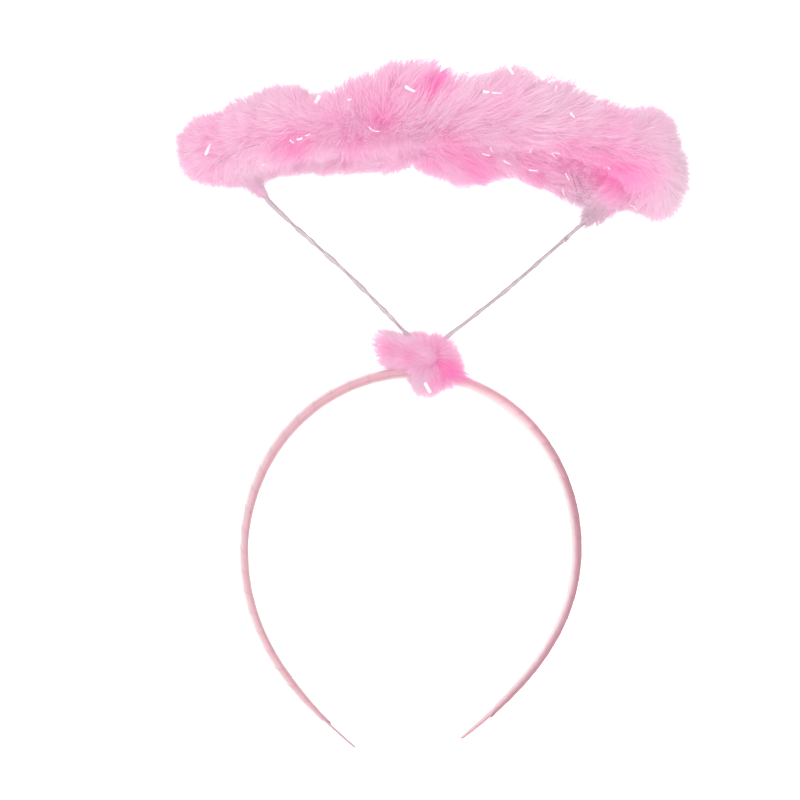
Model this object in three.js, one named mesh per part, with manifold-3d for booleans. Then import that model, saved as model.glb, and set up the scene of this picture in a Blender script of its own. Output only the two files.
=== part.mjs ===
// Halo headband: a feather halo held over the head by two wires on a ribbon-wound plastic band.
// Millimetres. +X is to the right in the front view, -Y is the front and +Z is up.
// The origin is where the underside of the wound band rests on the crown of the head.
import * as THREE from 'three';
import { mergeVertices } from 'three/addons/utils/BufferGeometryUtils.js';
import Module from 'manifold-3d';

const wasm = await Module();
wasm.setup();

// Plastic band, a thin strip bent into an arch that is open at the bottom
const BAND_WIDE = 131.5; // outside the winding, across the widest level
const WIDEST_DOWN = 65.5; // from the crown's underside down to that level
const TIP_DROP = 73.5; // from that level down to the tips
const TIP_OUT = 20.5; // from the middle to each tip
const STRIP_WIDE = 5.4; // front to back
const STRIP_THICK = 1;
const BARE_TIP = 17; // length of each arm that the ribbon leaves bare
const POINT_LENGTH = 11; // the last part of it, which narrows to a point
const POINT_WIDE = 1.2;
const POINT_THICK = 0.7;
const ARM_CURL = 0.427; // length of the curve's handles as a share of TIP_DROP
const EDGE_ROUND = 0.3; // the strip's edges are rounded over this share of its thickness
const EDGE_FLAT = 0.24; // and flat for this share of it each way
// out and drop are shares of TIP_OUT and TIP_DROP, and slope is the tip's in degrees
const ARMS = {
  left: { side: -1, out: 1.08, drop: 1.016, slope: 40.6 },
  right: { side: 1, out: 0.92, drop: 0.984, slope: 37.3 },
};
const STRIP_STEPS = 44;

// Satin ribbon wound round the band in overlapping turns, with the wire's tails under it at the crown
const RIBBON_GAP = 0.2; // between the strip and the winding
const CROWN_WALL = 1.15; // the winding's wall at the crown
const SIDE_WALL = 0.52; // its wall at the widest level as a share of that
const RIBBON_PITCH = 7.8; // from one turn to the next
const LAP_STEP = 0.3; // how far a turn stands over the one before
const LAP_RUN = 0.7; // length of the step down
const TURN_LEAN = 0.45; // how far a turn's edge runs along the band for each millimetre across
// wall as a share of CROWN_WALL, by the share of the arch's length from the left tip
const WINDING = [
  { along: 0.0, wall: 0.42 },
  { along: 0.23, wall: 0.46 },
  { along: 0.243, wall: 0.4 },
  { along: 0.25, wall: 0.56 },
  { along: 0.33, wall: 0.86 },
  { along: 0.4, wall: 1.0 },
  { along: 0.6, wall: 1.0 },
  { along: 0.68, wall: 0.78 },
  { along: 0.78, wall: 0.52 },
  { along: 1.0, wall: 0.42 },
];
const HOLLOW_STEPS = 40;

// Wire: one round wire bent into the halo's ring and its two legs, each leg twisted in clear film
const HALO_RADIUS = 81.5; // to the wire
const HALO_UP = 89; // mean height of the wire over the origin
const HALO_ASIDE = 9.5; // the ring leans this far to the right
const HALO_SADDLE = 5.9; // front and back stand this far over the mean, and the ends as far under it
const HALO_TILT = 0.042; // fall of the ring to the right, as a slope
const RING_WIRE = 1.5; // diameter
const LEG_WIDE = 1.9; // across the twisted film
const LEG_THICK = 1.15;
const LEG_TWIST = 24; // length of one full turn of the twist
const LEG_GAP = 2.6; // between the legs' middles, front to back, at the crown
const LEG_FOOT = 5.3; // the legs cross this far to the right of the middle
const FOOT_SPREAD = 4.2; // from there to where each leg lifts off the crown, beyond the crossing
const FOOT_BEND = 3; // height of the bend from the crown up into a leg
const TAIL_LENGTH = 8; // of each wire end that lies along the crown
const WIRE_GAP = 0.3; // from the wires to what they lie on or pass through
// A leg goes straight to its neck, where it enters the down, and turns up there to the ring's end.
// inward and under place the neck from that end and sag is its bow, as shares of HALO_RADIUS, and
// depth is -1 in front
const LEGS = {
  left: { side: -1, depth: -1, inward: 0.216, under: 0.243, sag: -0.012 },
  right: { side: 1, depth: 1, inward: 0.335, under: 0.267, sag: 0.004 },
};
const WIRE_SIDES = 6;
const LEG_STEPS = 40;
const RING_STEPS = 48;

// Marabou feather trim round the ring
const FLUFF_RADIUS = 14; // from the wire to the tips of the down
const CORE_SHARE = 0.72; // the dense middle's radius as a share of that
// rise, drop and out are shares of FLUFF_RADIUS above, below and outside the wire, by the angle
// round the ring in degrees: 0 is the right end, 90 the back, 180 the left end and 270 the front
const TRIM = [
  { turn: 0, rise: 1.2, drop: 1.42, out: 1.08 },
  { turn: 24, rise: 1.05, drop: 1.2, out: 1.0 },
  { turn: 45, rise: 1.0, drop: 0.72, out: 1.0 },
  { turn: 66, rise: 0.95, drop: 1.0, out: 1.0 },
  { turn: 82, rise: 1.0, drop: 0.5, out: 0.95 },
  { turn: 100, rise: 0.95, drop: 0.76, out: 1.0 },
  { turn: 130, rise: 0.95, drop: 0.78, out: 1.0 },
  { turn: 160, rise: 1.0, drop: 0.95, out: 1.34 },
  { turn: 185, rise: 1.12, drop: 0.95, out: 1.34 },
  { turn: 210, rise: 1.15, drop: 1.0, out: 1.0 },
  { turn: 230, rise: 0.6, drop: 1.0, out: 0.9 },
  { turn: 240, rise: 0.98, drop: 1.0, out: 1.0 },
  { turn: 252, rise: 1.22, drop: 1.0, out: 1.05 },
  { turn: 264, rise: 0.8, drop: 1.0, out: 1.0 },
  { turn: 280, rise: 1.05, drop: 1.0, out: 1.05 },
  { turn: 303, rise: 0.8, drop: 1.05, out: 1.0 },
  { turn: 325, rise: 1.3, drop: 1.08, out: 1.0 },
  { turn: 345, rise: 1.35, drop: 1.4, out: 1.12 },
];
const TRIM_STEPS = 44;
const TRIM_SIDES = 8;
const LOCK_STATIONS = 20;
const LOCKS_ROUND = 4; // locks round the trim at each station
const LOCK_SIDES = 5;
const LOCK_WIDE = 19;
const LOCK_THICK = 15;
const LOCK_ROOT = 0.25; // a lock starts this share of FLUFF_RADIUS from the wire
const LOCK_SWEEP = 8; // how far a lock's tip is swept back along the ring
const LOCK_TURN = 37; // each station's locks start this many degrees further round the trim
const LEG_DOWN_WIDE = 1.6; // the down that runs from the ring to a leg's neck, as a share of FLUFF_RADIUS
const LEG_DOWN_FORM = [
  { at: 0, size: 1 },
  { at: 0.52, size: 0.9 },
  { at: 0.8, size: 0.5 },
  { at: 0.96, size: 0.22 },
];

// Marabou tuft bound round the crown over the feet of the legs
const TUFT_WIDE = 27; // the dense middle
const TUFT_TALL = 19;
const TUFT_DEEP = 22;
const TUFT_UP = 6.5; // its middle over the origin
const TUFT_SWEEP = 1.5; // how far its locks bend to the back
const TUFT_SIDES = 12;
const TUFT_BANDS = 8;
// each lock points at angle in the front view and at depth degrees towards the front, and its
// reach and width are shares of TUFT_WIDE
const TUFT_LOCKS = [
  { angle: 148, depth: 10, reach: 0.8, wide: 0.3 },
  { angle: 160, depth: -14, reach: 0.76, wide: 0.3 },
  { angle: 175, depth: 14, reach: 0.7, wide: 0.32 },
  { angle: 130, depth: -10, reach: 0.56, wide: 0.34 },
  { angle: 95, depth: 0, reach: 0.4, wide: 0.4 },
  { angle: 48, depth: 8, reach: 0.5, wide: 0.42 },
  { angle: -6, depth: 10, reach: 0.62, wide: 0.38 },
  { angle: -16, depth: -16, reach: 0.66, wide: 0.36 },
  { angle: -78, depth: 24, reach: 0.5, wide: 0.34 },
  { angle: -98, depth: -18, reach: 0.44, wide: 0.3 },
  { angle: 160, depth: -50, reach: 0.5, wide: 0.38 },
  { angle: 30, depth: -56, reach: 0.5, wide: 0.38 },
  { angle: 20, depth: 58, reach: 0.5, wide: 0.38 },
];

// size is a lock's width as a share of its widest, by the share of its length
const LOCK_FORM = [
  { at: 0, size: 0.9 },
  { at: 0.7, size: 1 },
  { at: 1, size: 0.56 },
];

const SLIVER = 0.08; // detail smaller than this is left out where locks are joined
const CHIP = 0.01; // and smaller than this where room is cut in them

const FULL_TURN = Math.PI * 2;
const radians = THREE.MathUtils.degToRad;
const { lerp } = THREE.MathUtils;
const UP = new THREE.Vector3(0, 0, 1);
const FRONT_TO_BACK = new THREE.Vector3(0, 1, 0);

// Meshes from rings of points

// Skins a list of equal rings of points, end to end, and closes both ends unless it is a loop
function skin(rings, { loop = false } = {}) {
  const sides = rings[0].length;
  const points = rings.flat().flatMap((p) => [p.x, p.y, p.z]);
  const faces = [];
  const spans = loop ? rings.length : rings.length - 1;
  for (let i = 0; i < spans; i += 1) {
    for (let j = 0; j < sides; j += 1) {
      const next = (i + 1) % rings.length;
      const a = i * sides + j;
      const b = i * sides + ((j + 1) % sides);
      const c = next * sides + ((j + 1) % sides);
      const d = next * sides + j;
      faces.push(a, b, c, a, c, d);
    }
  }
  if (!loop) {
    const last = (rings.length - 1) * sides;
    for (let j = 1; j < sides - 1; j += 1) {
      faces.push(0, j + 1, j, last, last + j, last + j + 1);
    }
  }
  const geometry = new THREE.BufferGeometry();
  geometry.setAttribute('position', new THREE.Float32BufferAttribute(points, 3));
  geometry.setIndex(faces);
  return geometry;
}

// An oval ring of points round a place, on two axes of half sizes across and over
function oval(place, across, over, sides, start = 0) {
  return Array.from({ length: sides }, (_, j) => {
    const angle = start + (j / sides) * FULL_TURN;
    return place
      .clone()
      .addScaledVector(across, Math.cos(angle))
      .addScaledVector(over, Math.sin(angle));
  });
}

function toSolid(geometry) {
  const mesh = new wasm.Mesh({
    numProp: 3,
    vertProperties: new Float32Array(geometry.attributes.position.array),
    triVerts: new Uint32Array(geometry.index.array),
  });
  return new wasm.Manifold(mesh);
}

function toGeometry(solid) {
  const mesh = solid.getMesh();
  const geometry = new THREE.BufferGeometry();
  geometry.setAttribute('position', new THREE.BufferAttribute(mesh.vertProperties, 3));
  geometry.setIndex(new THREE.BufferAttribute(mesh.triVerts, 1));
  return geometry;
}

function joined(solids) {
  return solids.reduce((sum, solid) => sum.add(solid));
}

// Locks joined to what they grow from, with room cut in them for what runs through, and without the
// crumbs that the joins leave
function fused(solids, room) {
  const body = joined(solids).asOriginal().simplify(SLIVER);
  const bodies = body.subtract(room).asOriginal().simplify(CHIP).decompose();
  return bodies.reduce((most, one) => (one.volume() > most.volume() ? one : most));
}

// A column's value between the rows of a table, eased so that the form has no corners at the rows
function between(rows, key, column, at) {
  const after = rows.findIndex((row) => row[key] >= at);
  const high = rows[Math.max(after, 1)];
  const low = rows[Math.max(after, 1) - 1];
  const share = (at - low[key]) / (high[key] - low[key]);
  return lerp(low[column], high[column], THREE.MathUtils.smoothstep(share, 0, 1));
}

// The arch

const crownThick = STRIP_THICK + 2 * (RIBBON_GAP + CROWN_WALL);
const widestThick = STRIP_THICK + 2 * (RIBBON_GAP + CROWN_WALL * SIDE_WALL);
const archHalf = (BAND_WIDE - widestThick) / 2;
const archRise = WIDEST_DOWN + crownThick / 2;

// The strip's middle line in the XZ plane, from the left tip over the crown to the right tip
function makeArch() {
  const [left, right] = [ARMS.left, ARMS.right].map((arm) => {
    const tip = new THREE.Vector2(arm.side * TIP_OUT * arm.out, -WIDEST_DOWN - TIP_DROP * arm.drop);
    const slope = radians(arm.slope);
    const handle = new THREE.Vector2(arm.side * Math.cos(slope), Math.sin(slope));
    return {
      tip,
      lead: tip.clone().addScaledVector(handle, TIP_DROP * ARM_CURL),
      hip: new THREE.Vector2(arm.side * archHalf, -WIDEST_DOWN - TIP_DROP * ARM_CURL),
    };
  });
  const arch = new THREE.Path();
  arch.moveTo(left.tip.x, left.tip.y);
  arch.bezierCurveTo(left.lead.x, left.lead.y, left.hip.x, left.hip.y, -archHalf, -WIDEST_DOWN);
  arch.absellipse(0, -WIDEST_DOWN, archHalf, archRise, Math.PI, 0, true);
  arch.bezierCurveTo(right.hip.x, right.hip.y, right.lead.x, right.lead.y, right.tip.x, right.tip.y);
  return arch;
}

const arch = makeArch();
const archLength = arch.getLength();

// A place on the strip: along is the distance from the left tip, and out points away from the head
function station(along) {
  const share = THREE.MathUtils.clamp(along / archLength, 0, 1);
  const at = arch.getPoint(share);
  const run = arch.getTangent(share);
  const past = along - share * archLength;
  return {
    at: new THREE.Vector3(at.x + run.x * past, 0, at.y + run.y * past),
    out: new THREE.Vector3(-run.y, 0, run.x),
  };
}

// The section of a strip with rounded edges, as points across (front to back) and out of the arch
function stripSection(wide, thick) {
  const flat = wide / 2 - thick * EDGE_ROUND;
  const shoulder = thick * EDGE_FLAT;
  return [
    [-flat, thick / 2],
    [-wide / 2, shoulder],
    [-wide / 2, -shoulder],
    [-flat, -thick / 2],
    [flat, -thick / 2],
    [wide / 2, -shoulder],
    [wide / 2, shoulder],
    [flat, thick / 2],
  ];
}

function stripRing(along, wide, thick, lean = 0) {
  return stripSection(wide, thick).map(([across, over]) => {
    const { at, out } = station(along + lean * across);
    return at.addScaledVector(out, over).setY(across);
  });
}

function makeBand() {
  const rings = [];
  for (let i = 0; i <= STRIP_STEPS; i += 1) {
    const along = (i / STRIP_STEPS) * archLength;
    const fromTip = Math.min(along, archLength - along);
    const full = Math.sqrt(Math.min(fromTip / POINT_LENGTH, 1));
    rings.push(stripRing(along, lerp(POINT_WIDE, STRIP_WIDE, full), lerp(POINT_THICK, STRIP_THICK, full)));
  }
  return skin(rings);
}

// The winding

const windingFrom = BARE_TIP;
const windingTo = archLength - BARE_TIP;

function windingRing(along, over) {
  const wall = between(WINDING, 'along', 'wall', along / archLength) * CROWN_WALL;
  const grow = 2 * (RIBBON_GAP + wall + over);
  return stripRing(along, STRIP_WIDE + grow, STRIP_THICK + grow, TURN_LEAN);
}

const turns = Math.round((windingTo - windingFrom) / RIBBON_PITCH);
const pitch = (windingTo - windingFrom) / turns;

// Each turn rises to its edge and steps down there to the next
function makeWinding() {
  const rings = [];
  for (let i = 0; i < turns; i += 1) {
    const along = windingFrom + i * pitch;
    rings.push(windingRing(along, -LAP_STEP / 2), windingRing(along + pitch - LAP_RUN, LAP_STEP / 2));
  }
  rings.push(windingRing(windingTo, -LAP_STEP / 2));
  const hollow = [];
  for (let i = 0; i <= HOLLOW_STEPS; i += 1) {
    const along = lerp(windingFrom - STRIP_WIDE, windingTo + STRIP_WIDE, i / HOLLOW_STEPS);
    const grow = 2 * RIBBON_GAP;
    hollow.push(stripRing(along, STRIP_WIDE + grow, STRIP_THICK + grow, TURN_LEAN));
  }
  return toGeometry(toSolid(skin(rings)).subtract(toSolid(skin(hollow))));
}

// The room that the winding needs in what is bound round it
function windingRoom() {
  const rings = [];
  for (let i = 0; i <= turns; i += 1) {
    rings.push(windingRing(windingFrom + i * pitch, LAP_STEP / 2 + WIRE_GAP));
  }
  return toSolid(skin(rings));
}

// The wire

// A place on the ring at an angle in radians, with the directions away from its middle and along it
function ringPlace(angle) {
  const out = new THREE.Vector3(Math.cos(angle), Math.sin(angle), 0);
  const aside = HALO_RADIUS * Math.cos(angle);
  const lift = -HALO_TILT * aside - HALO_SADDLE * Math.cos(2 * angle);
  return {
    at: new THREE.Vector3(HALO_ASIDE + aside, HALO_RADIUS * Math.sin(angle), HALO_UP + lift),
    out,
    along: new THREE.Vector3(-out.y, out.x, 0),
  };
}

// The ring's end that a leg rises to, and the neck under it
function legTop(leg) {
  return ringPlace(leg.side > 0 ? 0 : Math.PI).at;
}

function legNeck(leg) {
  const inward = leg.side * leg.inward * HALO_RADIUS;
  return legTop(leg).add(new THREE.Vector3(-inward, 0, -leg.under * HALO_RADIUS));
}

// A leg's middle line from the end of its tail along the crown, up and out to the ring
function legPath(leg) {
  const { side, depth } = leg;
  const lie = LEG_WIDE / 2 + WIRE_GAP + LAP_STEP;
  const onCrown = (x) => {
    const rise = archRise * Math.sqrt(1 - (x / archHalf) ** 2);
    return new THREE.Vector3(x, (depth * LEG_GAP) / 2, rise - WIDEST_DOWN + crownThick / 2 + lie);
  };
  const footX = LEG_FOOT - side * FOOT_SPREAD;
  const foot = onCrown(footX);
  const bend = foot.clone().add(new THREE.Vector3(side * FOOT_BEND, 0, FOOT_BEND));
  const neck = legNeck(leg);
  const bow = leg.sag * HALO_RADIUS;
  const sag = new THREE.Vector3(side * bow, 0, -bow);
  return new THREE.CatmullRomCurve3([
    onCrown(footX - side * TAIL_LENGTH),
    onCrown(footX - (side * TAIL_LENGTH) / 2),
    foot,
    bend,
    bend.clone().lerp(neck, 0.5).add(sag),
    neck,
    legTop(leg),
  ]);
}

// A leg as a tube, its ends carried on by reach. A function of the distance along it gives the half
// sizes of its section and their turn
function legTube(leg, reach, section) {
  const path = legPath(leg);
  const length = path.getLength();
  const rings = [];
  for (let i = 0; i <= LEG_STEPS; i += 1) {
    const share = i / LEG_STEPS;
    const run = path.getTangentAt(share);
    const across = new THREE.Vector3().crossVectors(FRONT_TO_BACK, run).normalize();
    const over = new THREE.Vector3().crossVectors(run, across);
    const { wide, thick, twist } = section(share * length);
    const wideAxis = across.clone().multiplyScalar(Math.cos(twist)).addScaledVector(over, Math.sin(twist));
    const thinAxis = new THREE.Vector3().crossVectors(run, wideAxis);
    const beyond = reach * (Math.floor(share) - Math.floor(1 - share));
    const place = path.getPointAt(share).addScaledVector(run, beyond);
    rings.push(oval(place, wideAxis.multiplyScalar(wide), thinAxis.multiplyScalar(thick), WIRE_SIDES));
  }
  return toSolid(skin(rings));
}

// The leg in its twisted film
function legSolid(leg) {
  return legTube(leg, 0, (along) => ({
    wide: LEG_WIDE / 2,
    thick: LEG_THICK / 2,
    twist: (along * FULL_TURN) / LEG_TWIST,
  }));
}

// The round room that a leg needs in the down
function legRoom(leg) {
  const size = LEG_WIDE / 2 + WIRE_GAP;
  return legTube(leg, WIRE_GAP, () => ({ wide: size, thick: size, twist: 0 }));
}

function ringSolid(radius) {
  const rings = [];
  for (let i = 0; i < RING_STEPS; i += 1) {
    const { at, out } = ringPlace((i / RING_STEPS) * FULL_TURN);
    rings.push(oval(at, out.clone().multiplyScalar(-radius), UP.clone().multiplyScalar(radius), WIRE_SIDES));
  }
  return toSolid(skin(rings, { loop: true }));
}

function makeWire() {
  return toGeometry(joined([ringSolid(RING_WIRE / 2), ...Object.values(LEGS).map(legSolid)]));
}

function wireRoom() {
  return joined([ringSolid(RING_WIRE / 2 + WIRE_GAP), ...Object.values(LEGS).map(legRoom)]);
}

// The down

// A lock of down: a blunt flattened horn from its root along a direction, its tip swept aside and
// turned a little
function lockSolid({ root, reach, sweep, wide, thick, form = LOCK_FORM }) {
  const across = new THREE.Vector3().crossVectors(reach, sweep).normalize();
  const over = new THREE.Vector3().crossVectors(reach, across).normalize();
  const rings = form.map(({ at, size }) => {
    const place = root.clone().addScaledVector(reach, at).addScaledVector(sweep, at * at);
    const wideAxis = over.clone().multiplyScalar((wide * size) / 2);
    const thinAxis = across.clone().multiplyScalar((-thick * size) / 2);
    return oval(place, wideAxis, thinAxis, LOCK_SIDES, at);
  });
  return toSolid(skin(rings));
}

const trimRows = [...TRIM, { ...TRIM[0], turn: 360 }];

// How far the down stands from the wire at an angle of the ring and a direction round the trim
function downReach(angle, around) {
  const turn = THREE.MathUtils.radToDeg(angle) % 360;
  const column = Math.sin(around) > 0 ? 'rise' : 'drop';
  const upright = between(trimRows, 'turn', column, turn) * Math.sin(around);
  const level = between(trimRows, 'turn', 'out', turn) * Math.cos(around);
  return FLUFF_RADIUS * Math.hypot(upright, level);
}

// The direction round the trim from the wire, away from the ring's middle at 0 and up at 90 degrees
function aroundTrim(out, around) {
  return out.clone().multiplyScalar(Math.cos(around)).addScaledVector(UP, Math.sin(around));
}

// The dense middle of the trim
function trimCore() {
  const rings = [];
  for (let i = 0; i < TRIM_STEPS; i += 1) {
    const angle = (i / TRIM_STEPS) * FULL_TURN;
    const { at, out } = ringPlace(angle);
    const ring = [];
    for (let j = 0; j < TRIM_SIDES; j += 1) {
      const around = (-j / TRIM_SIDES) * FULL_TURN;
      const reach = CORE_SHARE * downReach(angle, around);
      ring.push(at.clone().addScaledVector(aroundTrim(out, around), reach));
    }
    rings.push(ring);
  }
  return toSolid(skin(rings, { loop: true }));
}

function makeTrim() {
  const solids = [trimCore()];
  for (let i = 0; i < LOCK_STATIONS; i += 1) {
    for (let j = 0; j < LOCKS_ROUND; j += 1) {
      const angle = ((i + j / LOCKS_ROUND) / LOCK_STATIONS) * FULL_TURN;
      const { at, out, along } = ringPlace(angle);
      const around = (j / LOCKS_ROUND) * FULL_TURN + radians(i * LOCK_TURN);
      const direction = aroundTrim(out, around);
      const start = LOCK_ROOT * FLUFF_RADIUS;
      solids.push(
        lockSolid({
          root: at.addScaledVector(direction, start),
          reach: direction.clone().multiplyScalar(downReach(angle, around) - start),
          sweep: along.multiplyScalar(-LOCK_SWEEP),
          wide: LOCK_WIDE,
          thick: LOCK_THICK,
        }),
      );
    }
  }
  for (const leg of Object.values(LEGS)) {
    const root = legTop(leg);
    solids.push(
      lockSolid({
        root,
        reach: legNeck(leg).sub(root),
        sweep: FRONT_TO_BACK,
        wide: LEG_DOWN_WIDE * FLUFF_RADIUS,
        thick: LEG_DOWN_WIDE * FLUFF_RADIUS,
        form: LEG_DOWN_FORM,
      }),
    );
  }
  return toGeometry(fused(solids, wireRoom()));
}

// The tuft

function makeTuft() {
  const middle = new THREE.Vector3(LEG_FOOT, 0, TUFT_UP);
  const body = new THREE.SphereGeometry(1, TUFT_SIDES, TUFT_BANDS);
  body.deleteAttribute('normal');
  body.deleteAttribute('uv');
  body.scale(TUFT_WIDE / 2, TUFT_DEEP / 2, TUFT_TALL / 2);
  body.translate(middle.x, middle.y, middle.z);
  const solids = [toSolid(mergeVertices(body))];
  for (const { angle, depth, reach, wide } of TUFT_LOCKS) {
    const level = Math.cos(radians(depth));
    const direction = new THREE.Vector3(
      level * Math.cos(radians(angle)),
      -Math.sin(radians(depth)),
      level * Math.sin(radians(angle)),
    );
    solids.push(
      lockSolid({
        root: middle.clone(),
        reach: direction.multiplyScalar(reach * TUFT_WIDE),
        sweep: new THREE.Vector3(0, TUFT_SWEEP, 0),
        wide: wide * TUFT_WIDE,
        thick: wide * TUFT_WIDE,
      }),
    );
  }
  return toGeometry(fused(solids, windingRoom().add(wireRoom())));
}

// The assembly

function look(color, roughness, metalness = 0) {
  return new THREE.MeshStandardMaterial({ color, roughness, metalness });
}

const looks = {
  plastic: look(0xe9a9b9, 0.35),
  satin: look(0xf0b3c6, 0.42),
  film: look(0xd9b7c6, 0.3),
  down: look(0xf7a8cf, 0.95),
};

function piece(name, geometry, material) {
  const mesh = new THREE.Mesh(geometry, material);
  mesh.name = name;
  return mesh;
}

const halo = new THREE.Group();
halo.add(piece('band', makeBand(), looks.plastic));
halo.add(piece('ribbon_winding', makeWinding(), looks.satin));
halo.add(piece('halo_wire', makeWire(), looks.film));
halo.add(piece('halo_trim', makeTrim(), looks.down));
halo.add(piece('crown_tuft', makeTuft(), looks.down));

export default halo;
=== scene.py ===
# %% [markdown]
# # A halo headband with marabou down
#
# The real object is a narrow plastic headband wound in satin ribbon. Two wire legs in clear film
# rise from a small feather tuft on its crown and hold a wire ring, which is wound in pink marabou
# down with a few strands of tinsel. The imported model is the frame: every piece here lies in the
# same place as its solid, in metres, with the crown of the head at the origin and +Z up.

# %% Load the frame
import math

import bpy
import numpy as np
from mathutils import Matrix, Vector


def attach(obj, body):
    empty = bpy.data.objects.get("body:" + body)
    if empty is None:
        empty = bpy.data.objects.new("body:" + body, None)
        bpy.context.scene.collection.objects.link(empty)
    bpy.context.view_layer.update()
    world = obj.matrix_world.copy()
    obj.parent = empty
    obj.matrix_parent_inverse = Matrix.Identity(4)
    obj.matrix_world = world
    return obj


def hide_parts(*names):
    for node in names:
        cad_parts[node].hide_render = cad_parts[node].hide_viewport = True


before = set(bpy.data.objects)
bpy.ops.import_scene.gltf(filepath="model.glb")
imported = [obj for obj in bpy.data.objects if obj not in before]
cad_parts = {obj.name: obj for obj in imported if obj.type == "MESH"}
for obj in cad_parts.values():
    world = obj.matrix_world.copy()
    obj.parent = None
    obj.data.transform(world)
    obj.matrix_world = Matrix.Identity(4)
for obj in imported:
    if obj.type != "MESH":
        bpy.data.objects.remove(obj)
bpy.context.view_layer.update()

MM = 0.001
rng = np.random.default_rng(7)

# %% [markdown]
# ## Two small helpers for node trees
#
# Geometry and materials are both made of nodes here. Written by hand, a sum of two sockets takes
# four lines, so one small class wraps a socket and lets Python's own signs make the Math nodes.
# A second class holds the tree and has one method that makes any node.


# %% A socket that can be used in sums
class Wire:
    def __init__(self, tree, socket):
        self.tree, self.socket = tree, socket

    def combined(self, sign, other, swapped=False):
        pair = (other, self) if swapped else (self, other)
        kinds = [w.socket.type if isinstance(w, Wire) else type(w).__name__ for w in pair]
        if not {"VECTOR", "RGBA", "tuple"} & set(kinds):
            return self.tree.node("ShaderNodeMath", {"operation": sign}, dict(enumerate(pair)))
        if sign == "MULTIPLY" and kinds[1] in ("VALUE", "INT", "float", "int"):
            return self.tree.node("ShaderNodeVectorMath", {"operation": "SCALE"},
                                  {0: pair[0], "Scale": pair[1]})
        return self.tree.node("ShaderNodeVectorMath", {"operation": sign}, dict(enumerate(pair)))

    def __add__(self, other): return self.combined("ADD", other)
    def __radd__(self, other): return self.combined("ADD", other, True)
    def __sub__(self, other): return self.combined("SUBTRACT", other)
    def __rsub__(self, other): return self.combined("SUBTRACT", other, True)
    def __mul__(self, other): return self.combined("MULTIPLY", other)
    def __rmul__(self, other): return self.combined("MULTIPLY", other)
    def __truediv__(self, other): return self.combined("DIVIDE", other)
    def __rtruediv__(self, other): return self.combined("DIVIDE", other, True)
    def __pow__(self, other): return self.combined("POWER", other)


# %% A tree of nodes
class Tree:
    def __init__(self, tree):
        self.tree = tree

    def node(self, kind, settings=None, inputs=None, output=0):
        made = self.tree.nodes.new(kind)
        for name, value in (settings or {}).items():
            if name == "stops":
                ramp = made.color_ramp
                while len(ramp.elements) < len(value):
                    ramp.elements.new(0.5)
                for stop, (place, colour) in zip(ramp.elements, value):
                    stop.position, stop.color = place, (*colour, 1)
            else:
                setattr(made, name, value)
        for name, value in (inputs or {}).items():
            socket = self.pick(made.inputs, name)
            if isinstance(value, Wire):
                self.tree.links.new(value.socket, socket)
            elif socket.type == "RGBA" and len(value) == 3:
                socket.default_value = (*value, 1)
            else:
                socket.default_value = value
        return Wire(self, self.pick(made.outputs, output))

    @staticmethod
    def pick(sockets, name):
        shown = [s for s in sockets if s.enabled]
        return shown[name] if isinstance(name, int) else next(s for s in shown if s.name == name)

    def other(self, wire, name):
        """Another output of the node that a wire comes from."""
        return Wire(self, self.pick(wire.socket.node.outputs, name))

    def function(self, operation, *values):
        return self.node("ShaderNodeMath", {"operation": operation}, dict(enumerate(values)))

    def vector(self, operation, *values, output=0):
        return self.node("ShaderNodeVectorMath", {"operation": operation}, dict(enumerate(values)),
                         output)

    def blend(self, share, low, high, kind="RGBA"):
        return self.node("ShaderNodeMix", {"data_type": kind},
                         {"Factor": share, "A": low, "B": high})

    def axis(self, vector, name):
        return self.node("ShaderNodeSeparateXYZ", None, {0: vector}, name)

    def joined(self, **axes):
        return self.node("ShaderNodeCombineXYZ", None, axes)

    def ranged(self, value, low, high, start=0.0, end=1.0):
        """The value moved from between low and high to between start and end, and held there."""
        return self.node("ShaderNodeMapRange", None, {
            "Value": value, "From Min": low, "From Max": high, "To Min": start, "To Max": end})

    def object_place(self):
        return self.node("ShaderNodeTexCoord", None, None, "Object")

    def flat_noise(self, x, y, detail=2.0):
        return self.node("ShaderNodeTexNoise", {"noise_dimensions": "2D"}, {
            "Vector": self.joined(X=x, Y=y), "Scale": 1.0, "Detail": detail})

    def read(self, name, kind="FLOAT"):
        return self.node("GeometryNodeInputNamedAttribute", {"data_type": kind}, {"Name": name})

    def store(self, geometry, name, value, kind="FLOAT", domain="POINT"):
        """The geometry with a named value kept on it."""
        return self.node("GeometryNodeStoreNamedAttribute", {"data_type": kind, "domain": domain},
                         {"Geometry": geometry, "Name": name, "Value": value})


# %% [markdown]
# ## Camera, floor and light
#
# The photograph was taken level with the crown, from a little to the left of straight ahead, and
# its background is cut out to white. A long lens almost a metre away matches its perspective. A
# pale floor that curves up into a wall gives the same white without an edge behind the object. The
# wall glows a little, so its white stays even, and the floor doesn't. Large soft lamps light the
# down from the left, from ahead and from above.

# %% The camera at the photograph's angle
AZIMUTH = math.radians(-10)
DISTANCE = 0.93
PIXEL = 0.381 * MM  # at the object
PHOTO_WIDE = 800  # pixels
SENSOR = 36  # mm
right_hand = Vector((math.cos(AZIMUTH), math.sin(AZIMUTH), 0))
backward = Vector((math.sin(AZIMUTH), -math.cos(AZIMUTH), 0))
target = right_hand * (-12.5 * PIXEL) + Vector((0, 0, -8.4 * MM))
lens = bpy.data.cameras.new("camera")
lens.sensor_width = SENSOR
lens.lens = SENSOR * DISTANCE / (PHOTO_WIDE * PIXEL)
camera = bpy.data.objects.new("camera", lens)
bpy.context.scene.collection.objects.link(camera)
camera.location = target + backward * DISTANCE
camera.rotation_mode = "QUATERNION"
camera.rotation_quaternion = (-backward).to_track_quat("-Z", "Y")
bpy.context.scene.camera = camera
bpy.context.scene.view_settings.view_transform = "Standard"
print("lens", round(lens.lens, 1), "mm")


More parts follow.
